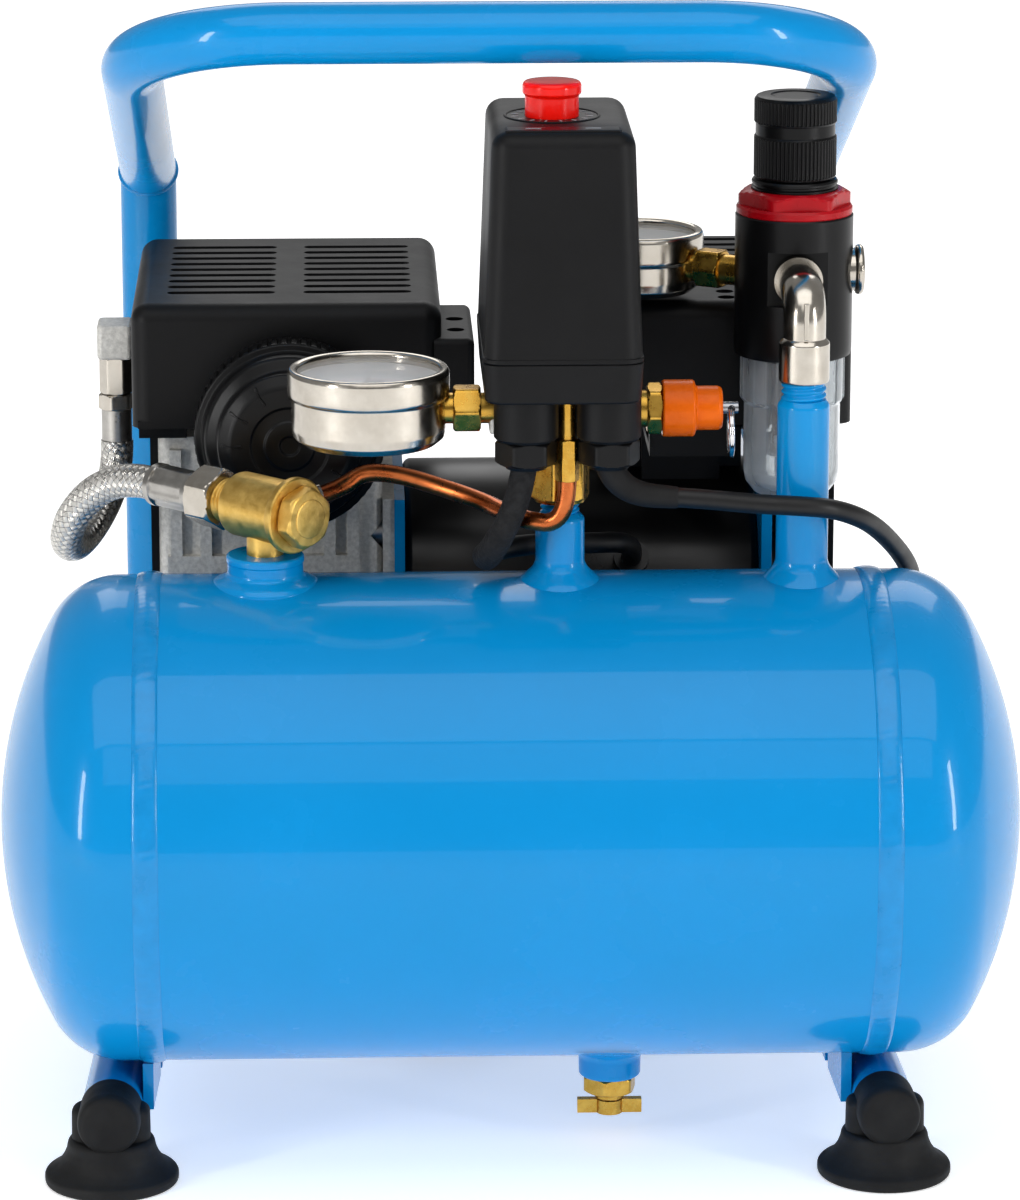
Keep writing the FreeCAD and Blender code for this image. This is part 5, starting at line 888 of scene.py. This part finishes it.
class MakeCovers(Builder):
    """The two moulded covers over pump and motor"""
    bl_idname = "compressor.covers"
    bl_label = "Covers"

    def build(self):
        edge = self.sizes.edge
        softened_copy("shroud_left", "cover.left", "grained black ABS", edge)
        softened_copy("shroud_right", "cover.right", "grained black ABS", edge)


class MakeFilter(Builder):
    """Round intake filter in front of the cover"""
    bl_idname = "compressor.filter"
    bl_label = "Intake filter"

    def build(self):
        def ribs(a, r, h):
            rim = (h > 14.5) & (h < 24.5) & (r > 31)
            return np.where(rim, r - 0.7 * (np.cos(60 * a) > 0.2), r), h

        outline = [(0, 1.2), (3, 1.2), (3.4, 0.2), (8, 0.2), (8.6, 0.8), (12.6, 0.8), (13.2, 0), (19.4, 0), (20.6, 0.5),
                   (23.6, 2.3), (24, 3), (24, 6.6), (24.6, 7.3), (27.6, 8.8), (28.3, 9.6), (29, 12.6), (29.6, 13.5),
                   (31.4, 13.9), (32, 14.7), (32, 24.3), (31.4, 25), (0, 25)]
        body = lathe(outline, at(-72, 37, 231), (0, 1, 0), 720, ribs, soft=0.35)
        neck = lathe([(0, 24), (8, 24), (8, 61), (0, 61)], at(-72, 37, 250), (0, 1, 0), 48, soft=0.5)
        marks = []
        for n in range(12):
            a = TAU * n / 12
            blade = box_mm((16.0, 22.8), (-0.5, 0.5), (-0.5, 0.5), 0.2)
            points = blade["points"]
            x = points[:, 0] * math.cos(a) - points[:, 1] * math.sin(a)
            z = points[:, 0] * math.sin(a) + points[:, 1] * math.cos(a)
            drop = np.clip(points[:, 0] - 19.5, 0, None) * 0.5
            marks.append({**blade, "points": np.column_stack([x, points[:, 2] + drop, -z]) + at(-72, 37, 231)})
        piece("filter.body", [body, neck] + marks, ["smooth black ABS"], replaces=["filter_housing"])


class MakeCheckValve(Builder):
    """Check valve on the tank, with the hose's and the small tube's nuts"""
    bl_idname = "compressor.check_valve"
    bl_label = "Check valve"

    def build(self):
        a = VALVE_AXIS
        fine = [(7.4, h) for h in np.arange(-20.6, -11.2, 0.15)]
        body = lathe([(0, -21), (6.8, -21)] + fine + [(10.4, -11), (10.6, -10.2), (10.6, 10.6), (10.2, 11.4),
                     (12.2, 12.2), (12.5, 12.8), (12.5, 14.6), (12.0, 15.0), (0, 15.0)], VALVE, a, 96,
                     threaded(-20.8, -11.2, 0.8, 1.5))
        head = nut(18, 6, VALVE + a * 15, a, start=0.3)
        dimple = lathe([(0, 20.9), (6.4, 20.9), (6.4, 21.15), (5.9, 21.4), (0, 21.4)], VALVE, a, 64)
        stem = lathe([(0, 195.5), (6, 195.5), (6, 214), (0, 214)], at(-80, 0, 0), turns=64)
        side = lathe([(0, 6), (4.5, 6), (4.5, 15), (0, 15)], VALVE, SIDE_AXIS, 48)
        port = nut(11, 7, VALVE + SIDE_AXIS * 15, SIDE_AXIS, start=0.2, bore=3.2)
        ring = lathe([(3.2, 0.4), (4.6, 0.4), (4.6, 7.5), (3.2, 7.5), (3.2, 0.4)], VALVE + SIDE_AXIS * 15,
                     SIDE_AXIS, 48)
        piece("check_valve.body", [body, head, dimple, stem, side], ["forged brass"],
              replaces=["check_valve_body"])
        hose_nut = nut(18.5, 11, VALVE - a * 29, a, start=0.5)
        collar = lathe([(0, -30), (8.2, -30), (8.4, -29.2), (0, -29)], VALVE, a, 64)
        flutes = [(7.2, h) for h in np.linspace(-50.4, -30, 60)]

        def crimp(angle, r, h):
            return np.where((h < -33) & (h > -48), r - 0.5 - 0.28 * np.cos(8 * angle), r), h

        ferrule = lathe([(0, -51), (6.6, -51)] + flutes + [(0, -30)], VALVE, a, 96, crimp)
        block = box_mm((-138, -126), (105 + TANK_Y, 121 + TANK_Y), (246, 258), 1.2, 2.0, paint=2)
        spigot = at(-132, 113, 0)
        upper = nut(10, 13, spigot + (0, 0, 233), (0, 0, 1))
        lower = nut(11, 5.5, spigot + (0, 0, 227.5), (0, 0, 1), start=0.25)

        def pressed(angle, r, h):
            return np.where((h > 218) & (h < 226), r - 0.18 * (1 + np.cos(8 * angle)), r), h

        cuff = lathe([(0, 216.5), (4.9, 216.5), (5.2, 216.8), (5.2, 227.6), (0, 227.6)], spigot, turns=64, paint=1,
                     swell=pressed)
        piece("hose.fittings", [hose_nut, collar, {**ferrule, "paint": 1}, block, upper, lower, cuff],
              ["nickel plate", "satin stainless", "blasted cast aluminium"], replaces=["hose_fittings"])
        union = nut(17.5, 14, at(16, 0, 222), (0, 0, 1), start=0.26)
        lip = lathe([(6.6, 221.2), (8.3, 221.2), (8.5, 222.2), (6.6, 222.2), (6.6, 221.2)], at(16, 0, 0), turns=64)
        small = nut(7, 13.8, at(17.75, -14, 231), (0, 0, 1), start=0.1)
        stub = lathe([(0, 244), (2.6, 244), (2.6, 259), (0, 259)], at(17.75, -14, 0), turns=32)
        for shape in (port, ring):
            shape["paint"] = 1
        piece("union.nuts", [union, lip, small, stub, port, ring], ["turned brass", "nickel plate"],
              replaces=["tube_nuts"])
        route = np.array([(-64.44, 15.56, 219), (-55.96, 24.04, 219), (-45, 26, 227), (-10, 11, 219), (2, -9, 217),
                          (17.75, -14, 216), (17.75, -14, 231)]) + (0, TANK_Y, 0)
        line = line_of(route * MM, 16) / MM
        piece("union.small_tube", [sweep(line, 3.0, (0.2, 0.75, -0.63), turns=40)], ["drawn copper"],
              replaces=["copper_tube"])


class MakeSwitch(Builder):
    """Pressure switch: base with its glands, manifold, cover and button"""
    bl_idname = "compressor.switch"
    bl_label = "Pressure switch"

    def build(self):
        x, y = SWITCH
        base = soft_block((25, 39.5), (25.8, 40.3), (259, 272), 6, 1.2, 0.4, (x, y))
        glands = [lathe([(0, 245), (9.6, 245), (10.5, 246), (10.5, 260), (0, 260)], at(gx, -15, 0), turns=64)
                  for gx in GLANDS_X]
        piece("switch.base", [base] + glands, ["grained black ABS"], replaces=["switch_base"])
        nuts = []
        for gx in GLANDS_X:
            nuts.append(nut(18, 8, at(gx, -15, 237), (0, 0, 1), start=0.1, bore=3.6))
            nuts.append(lathe([(3.6, 235.6), (6.6, 235.6), (7.6, 237.4), (3.6, 237.4), (3.6, 235.6)], at(gx, -15, 0),
                              turns=64))
        piece("switch.gland_nuts", nuts, ["smooth black ABS"], replaces=["cable_glands"])
        block = box_mm((-7, 39), (-4 + TANK_Y, 28 + TANK_Y), (244, 259), 0.8, 1.2)
        foot = nut(14, 8.6, at(16, 0, 236), (0, 0, 1), start=0.2)
        piece("switch.manifold", [block, foot], ["blasted cast aluminium"], replaces=["switch_manifold"])
        self.cover(x, y)
        self.button()

    def cover(self, x, y):
        shell = soft_block((25.5, 40), (22.75, 37.75), (272, 346), 6.5, 0.4, 5.0, (x, y))
        seam = soft_block((25.8, 40.3), (25.8, 40.3), (272.2, 273.8), 6.5, 0.4, 0.4, (x, y))
        ring = lathe([(14.6, 345.0), (15.6, 345.0), (15.6, 346.2), (15.3, 346.45), (14.9, 346.45), (14.6, 346.2),
                      (14.6, 345.0)], BUTTON, turns=96)
        disc = lathe([(9.0, 345.0), (14.5, 345.0), (14.5, 346.08), (9.0, 346.08), (9.0, 345.0)], BUTTON,
                     turns=96, paint=1)
        marks = []
        for n in range(16):
            blade = box_mm((11.0, 13.4), (-0.35, 0.35), (346.0, 346.3), 0.1, paint=2)
            marks.append(turned_about({**blade, "points": blade["points"] + BUTTON}, BUTTON,
                                      (0, 0, 1), TAU * (n + 0.5) / 16))
        rim = box_mm((x - 18.5, x + 18.5), (y - 33.6, y - 25.4), (345.2, 346.35), 0.3, 1.0)
        inlay = box_mm((x - 17.7, x + 17.7), (y - 32.8, y - 26.2), (345.2, 346.45), 0.15, 0.6, paint=1)
        bars = [box_mm((x + a, x + a + 5), (y - 30.2, y - 28.8), (346.2, 346.6), 0.1, paint=2) for a in (-12, 7)]
        piece("switch.cover", [shell, seam, ring, disc, rim, inlay] + marks + bars,
              ["grained black ABS", "smooth black ABS", "label grey ink"], replaces=["switch_cover"])

    def button(self):
        outline = [(0, 330), (8.7, 330), (8.7, 352.8), (9.55, 353.5), (9.55, 356.2), (8.9, 357.2), (7.2, 357.4),
                   (0, 357.2)]
        piece("switch.button", [lathe(outline, BUTTON, turns=96, soft=0.5)], ["signal red ABS"],
              body="button", replaces=["switch_button"])


def gauge_shapes(centre, r, height, target, stem_z, across):
    """A gauge that looks up: its case, a drawn cup with a rolled rim and h measured from its back, and the
    hexagon and stem that run from it towards target."""
    case = [(0, 0), (r - 4.5, 0), (r - 1.8, 2.2), (r - 1.2, 5), (r - 1.2, height - 10), (r - 0.4, height - 9.4),
            (r, height - 8.4), (r, height - 1.6), (r - 0.5, height - 0.4), (r - 1.5, height), (r - 2.6, height - 0.3),
            (r - 3.2, height - 1.2), (r - 3.2, height - 3.6), (r - 2.4, height - 3.8), (r - 2.4, 3), (0, 3)]
    cup = lathe(case, centre, turns=128, soft=0.45)
    aim = unit(np.array([target[0] - centre[0], target[1] - centre[1], 0]))
    stem_at = np.array([centre[0], centre[1], stem_z])
    long = float(np.linalg.norm(np.array(target[:2]) - centre[:2]))
    hexagon = nut(across, 9.0, stem_at + aim * (r + 1.0), aim, paint=1)
    neck = lathe([(0, r - 3), (5.0, r - 3), (5.0, long), (0, long)], stem_at, aim, 48, paint=1)
    return cup, hexagon, neck


def dial_shapes(centre, z, r, numbers):
    """A dial print: ticks on a 270 degree arc, a thin red arc inside them, numerals between arc and hub."""
    c = np.array([centre[0], centre[1], z])
    plate = lathe([(0, -0.8), (r, -0.8), (r, 0), (0, 0)], c, turns=96)

    def ring(first, last, inner, outer, paint):
        a = np.radians(np.linspace(first, last, 64))
        reach = np.repeat([outer, inner], 64)
        a = np.concatenate([a, a[::-1]])
        return slab(np.column_stack([reach * np.cos(a), reach * np.sin(a), 0 * a + 0.07]) + c, 0.1, paint)

    marks = []
    total = (len(numbers) - 1) * 5
    for n in range(total + 1):
        a = math.radians(225 - 270 * n / total)
        long, wide = (0.17, 0.05) if n % 5 == 0 else (0.09, 0.024)
        d, e = np.array([math.cos(a), math.sin(a), 0]), np.array([-math.sin(a), math.cos(a), 0])
        corner = [d * r * (0.93 - long) - e * r * wide / 2, d * r * 0.93 - e * r * wide / 2,
                  d * r * 0.93 + e * r * wide / 2, d * r * (0.93 - long) + e * r * wide / 2]
        marks.append(slab(np.array(corner) + c + (0, 0, 0.09), 0.12, 1))
    for n, text in enumerate(numbers):
        a = math.radians(225 - 270 * n / (len(numbers) - 1))
        spot = c + np.array([math.cos(a), math.sin(a), 0]) * r * 0.6 + (0, 0, 0.09)
        marks.append(numeral(text, r * 0.26, spot, paint=1))
    arc = ring(-45, 225, r * 0.9, r * 0.93, 1)
    red = ring(-45, 225, r * 0.725, r * 0.755, 2)
    return [plate, arc, red] + marks


class MakeGauges(Builder):
    """Tank gauge and line gauge"""
    bl_idname = "compressor.gauges"
    bl_label = "Gauges"

    def build(self):
        tank, line = at(-46, 0, 241), at(46, 72.5, 276)
        one = gauge_shapes(tank, 26.25, 25, at(0.5, 0, 0), 252, 14)
        two = gauge_shapes(line, 21, 21, at(78.5, 53.4, 0), 286, 12)
        piece("gauge.cases", list(one + two), ["nickel plate", "turned brass"], replaces=["gauge_cases"])
        first = dial_shapes(tank, 258.0, 23.6, ["0", "2", "4", "6", "8", "10", "12"])
        second = dial_shapes(line, 289.0, 18.4, ["0", "2", "4", "6", "8", "10", "12"])
        piece("gauge.dials", first + second, ["dial white", "dial black ink", "dial red ink"],
              replaces=["gauge_dials"])
        glass = [lathe([(0, 0), (r, 0), (r, 1.2), (r * 0.7, 1.7), (0, 1.9)], place, turns=96)
                 for place, r in ((at(-46, 0, 262.4), 23.7), (at(46, 72.5, 293.4), 18.5))]
        piece("gauge.glass", glass, ["clear acrylic"], replaces=["gauge_lenses"])


class MakeReliefValve(Builder):
    """Relief valve with its orange cap and pull ring"""
    bl_idname = "compressor.relief_valve"
    bl_label = "Relief valve"

    def build(self):
        start, axis = at(0, 0, 251.5), (1, 0, 0)
        body = lathe([(0, 32), (6, 32), (6, 44.4), (0, 44.4)], start, axis, 64)
        hexagon = nut(15, 5, start + (44, 0, 0), axis, start=0.2)
        barrel = lathe([(0, 48), (6.5, 48), (6.5, 60), (0, 60)], start, axis, 64)
        piece("relief.body", [body, hexagon, barrel], ["turned brass"], replaces=["relief_valve_body"])
        cap = [(6.6, 49), (8.9, 49), (9.25, 49.5), (9.25, 58.9), (8.8, 59.5), (7.5, 59.9), (7.2, 60.3), (7.2, 67.2),
               (6.7, 68.1), (6.2, 68.5), (2.4, 68.5), (2.4, 60.3), (6.6, 60.3), (6.6, 49)]
        piece("relief.cap", [lathe(cap, start, axis, 96, soft=0.4)], ["orange lacquer"],
              replaces=["relief_valve_cap"])
        eye = at(71.5, 0, 251.5)
        a = np.radians(np.linspace(92, 92 + 700, 240))
        drift = np.linspace(-0.55, 0.55, 240)
        coil = np.column_stack([drift, 7.9 * np.cos(a), -8 + 7.9 * np.sin(a)]) + eye
        piece("relief.ring", [sweep(coil, 0.62, (1, 0, 0), turns=12)], ["chrome plate"], body="relief_ring",
              replaces=["relief_valve_ring"])


class MakeRegulator(Builder):
    """Filter regulator with its knob, collar, clear bowl, elbow and outlet"""
    bl_idname = "compressor.regulator"
    bl_label = "Regulator"

    def build(self):
        x, y = REGULATOR
        centre = np.array([x, y, 0.0])

        def recess(a, r, h):
            """A flat pocket cut into the front, where -y is a = -90 degrees."""
            px, py = r * np.cos(a), r * np.sin(a)
            inside = (np.abs(px) < 12.5) & (np.abs(h - 288) < 9.0) & (py < -16.8) & (r > 19)
            return np.where(inside, 16.8 / np.maximum(-np.sin(a), 0.3), r), h

        rows = np.concatenate([np.linspace(262, 278.9, 8), [278.99, 279.01], np.linspace(279.1, 296.9, 12),
                               [296.99, 297.01], np.linspace(297.1, 302, 4)])
        outline = [(0, 260), (18.3, 260), (19.1, 260.4)] + [(19.5, h) for h in rows] + [(19.5, 306.9), (19.1, 307.4),
                  (16, 307.4), (16, 310), (0, 310)]
        body = lathe(outline, centre, turns=720, swell=recess)
        steps = [(0, 306), (14.3, 306), (14.3, 316.2), (13.6, 316.6), (13.6, 317.2), (14.2, 317.5), (14.2, 318.2),
                 (13.8, 318.8), (11, 319), (11, 334), (0, 334)]
        rings = lathe(steps, centre, turns=96)
        stub = lathe([(0, 243), (7.5, 243), (7.5, 261), (0, 261)], centre, turns=48)
        baffle = lathe([(0, 226), (9, 226), (9, 227.6), (7.4, 229), (6.4, 229.6), (0, 229.6)], centre, turns=64,
                       paint=1, soft=0.4)
        fins = [turned_about(box_mm((x - 8.6, x + 8.6), (y - 0.6, y + 0.6), (229, 233), 0.3, paint=1), centre,
                             (0, 0, 1), TAU * n / 8) for n in range(4)]
        candle = lathe([(0, 229), (6.4, 229), (6.5, 244), (0, 244)], centre, turns=64, paint=2)
        piece("regulator.body", [body, rings, stub, baffle, candle] + fins,
              ["smooth black ABS", "white acetal", "sintered bronze"], replaces=["regulator_body"],
              sharp=30)
        band = lathe([(16, 307.4), (18.9, 307.4), (19.2, 307.8), (19.2, 309.6), (18.6, 310.4), (16, 310.4),
                      (16, 307.4)], centre, turns=96)
        hexagon = nut(33, 5.4, centre + (0, 0, 310.1), (0, 0, 1), start=0.06, bore=14.4, both=False)
        piece("regulator.collar", [band, hexagon], ["crimson nylon"], replaces=["regulator_collar"])
        self.knob(centre)
        self.bowl(centre)
        self.fittings(centre)

    def knob(self, centre):
        count = self.sizes.knurls

        def ribs(a, r, h):
            upper, lower = (h > 338.0) & (h < 345.0), (h > 320.2) & (h < 332.6)
            on = (upper | lower) & (r > 13.0)
            wave = np.clip(1.5 * np.cos(count * a), -1, 1)
            return np.where(on, r - 0.26 + 0.26 * wave, r), h

        rim = [(13.6, h) for h in np.linspace(320.3, 332.5, 4)]
        top = [(13.6, h) for h in np.linspace(338.1, 344.9, 4)]
        outline = [(0, 342), (11.1, 342), (11.1, 319.5), (13.3, 319.5), (13.6, 320.1)] + rim + [(13.6, 332.8),
                  (13.4, 333.2), (13.1, 333.5), (13.1, 337.2), (13.4, 337.5), (13.6, 337.9)] + top + [(13.5, 345.3),
                  (12.8, 346.2), (12.0, 346.5), (8.3, 346.5), (8.0, 346.1), (7.6, 345.9), (7.2, 346.2), (3.0, 346.3),
                  (0, 346.2)]
        body = lathe(outline, centre, turns=count * 12, swell=ribs)
        piece("regulator.knob", [body], ["smooth black ABS"], body="knob", replaces=["regulator_knob"],
              sharp=30)

    def bowl(self, centre):
        def ribs(a, r, h):
            band = (h > 244.5) & (h < 259.6) & (r > 16.2)
            return np.where(band, r - 0.55 * (np.cos(12 * a) < 0), r), h

        outer = [(2.7, 212), (8, 212), (12.6, 213.4), (15.2, 216.8), (16, 220.5), (16, 243.6), (16.6, 244.4),
                 (17.4, 245.4), (17.4, 259.4), (17.2, 259.95)]
        inner = [(14.4, 259.95), (14.4, 220.9), (13.2, 217.4), (10.6, 214.8), (7.5, 213.7), (2.7, 213.7), (2.7, 212)]
        shell = lathe(outer + inner, centre, turns=240, swell=ribs, soft=0.4)
        piece("regulator.bowl", [shell], ["moulded polycarbonate"], replaces=["regulator_bowl"])

    def fittings(self, centre):
        riser = at(95, 0, 0)
        path = bent([riser + (0, 0, 262), riser + (0, 0, 288), riser + (0, 31.5, 288)], 9, 16)
        elbow = sweep(path, 6.9, (1, 0, 0), turns=64)
        collar = lathe([(6.4, 260), (7.4, 260), (8.0, 260.2), (8.25, 260.8), (8.25, 273), (7.6, 273.9), (6.9, 274.6),
                        (6.4, 274.6), (6.4, 260)], riser, turns=64, soft=0.3)
        flange = lathe([(6.6, 24.5), (8.0, 24.5), (8.2, 25.2), (8.2, 27.6), (6.6, 27.6), (6.6, 24.5)],
                       riser + (0, 0, 288), (0, 1, 0), 64)
        keel = box_mm((94.2, 95.8), (TANK_Y - 7.7, TANK_Y - 6), (275, 287), 0.3)
        piece("regulator.elbow", [elbow, collar, flange, keel], ["nickel plate"])
        port = centre + (0, 0, 288)
        ring = lathe([(0, 9.5), (7.1, 9.5), (7.1, 20.2), (8.0, 20.6), (8.3, 21.4), (8.3, 22.2), (7.6, 23), (5.9, 23),
                      (5.9, 12.5), (0, 12.5)], port, (1, 0, 0), 96, soft=0.3)
        piece("regulator.outlet", [ring], ["nickel plate"], replaces=["regulator_fittings"])


class MakeDrain(Builder):
    """Drain cock under the tank"""
    bl_idname = "compressor.drain"
    bl_label = "Drain cock"

    def build(self):
        place = at(33, 0, 0)
        body = nut(16, 6, place + (0, 0, 18), (0, 0, 1), start=0.3)
        nose = lathe([(0, 15.5), (4.4, 15.5), (4.8, 16), (4.8, 18.4), (0, 18.4)], place, turns=48)
        neck = lathe([(0, 23), (6.5, 23), (6.5, 33), (0, 33)], place, turns=48)
        piece("drain.body", [body, nose, neck], ["turned brass"], replaces=["drain_valve_body"])


KEPT = {"cylinder": "blasted cast aluminium", "valve_plate": "ground steel", "pump_screws": "zinc-plated steel",
        "bearings": "ground steel", "stator": "varnished laminations", "rotor": "varnished laminations",
        "motor_shaft": "ground steel", "eccentric": "ground steel", "cooling_fan": "smooth black ABS",
        "piston_rod": "milled aluminium", "filter_element": "needled felt", "check_valve_poppet": "moulded rubber",
        "contact_block": "smooth black ABS", "regulator_spindle": "turned brass", "bowl_drain": "turned brass",
        "relief_valve_stem": "ground steel", "drain_wing": "turned brass", "tank_gauge_needle": "dial black ink",
        "line_gauge_needle": "dial black ink"}


class MakeKept(Builder):
    """Finishes on the frame's own parts"""
    bl_idname = "compressor.kept"
    bl_label = "Inner parts"

    def build(self):
        for node, name in KEPT.items():
            thing = frame["nodes"][node]
            if not thing.material_slots:
                thing.data.materials.append(None)
            for slot in thing.material_slots:
                slot.material = MATERIALS[name]


OPERATORS = (MakeStage, MakeFinishes, MakeHose, MakeLeads, MakeTank, MakeFrame, MakePump, MakeCovers, MakeFilter,
             MakeCheckValve, MakeSwitch, MakeGauges, MakeReliefValve, MakeRegulator, MakeDrain, MakeKept)


class CompressorPanel(bpy.types.Panel):
    """Lists the pieces of the compressor"""
    bl_idname = "VIEW3D_PT_compressor"
    bl_label = "Compressor"
    bl_space_type = "VIEW_3D"
    bl_region_type = "UI"
    bl_category = "Compressor"

    def draw(self, context):
        for settings in (context.scene.compressor_colours, context.scene.compressor_sizes):
            for name in settings.bl_rna.properties.keys():
                if name not in ("rna_type", "name"):
                    self.layout.prop(settings, name)
        for operator in OPERATORS:
            self.layout.operator(operator.bl_idname)


CLASSES = (CompressorColours, CompressorSizes) + OPERATORS + (CompressorPanel,)


def register():
    for cls in CLASSES:
        bpy.utils.register_class(cls)
    bpy.types.Scene.compressor_colours = bpy.props.PointerProperty(type=CompressorColours)
    bpy.types.Scene.compressor_sizes = bpy.props.PointerProperty(type=CompressorSizes)


def unregister():
    del bpy.types.Scene.compressor_sizes, bpy.types.Scene.compressor_colours
    for cls in reversed(CLASSES):
        bpy.utils.unregister_class(cls)


def main():
    register()
    for operator in OPERATORS:
        getattr(bpy.ops.compressor, operator.bl_idname.split(".")[1])()


if __name__ == "__main__":
    main()
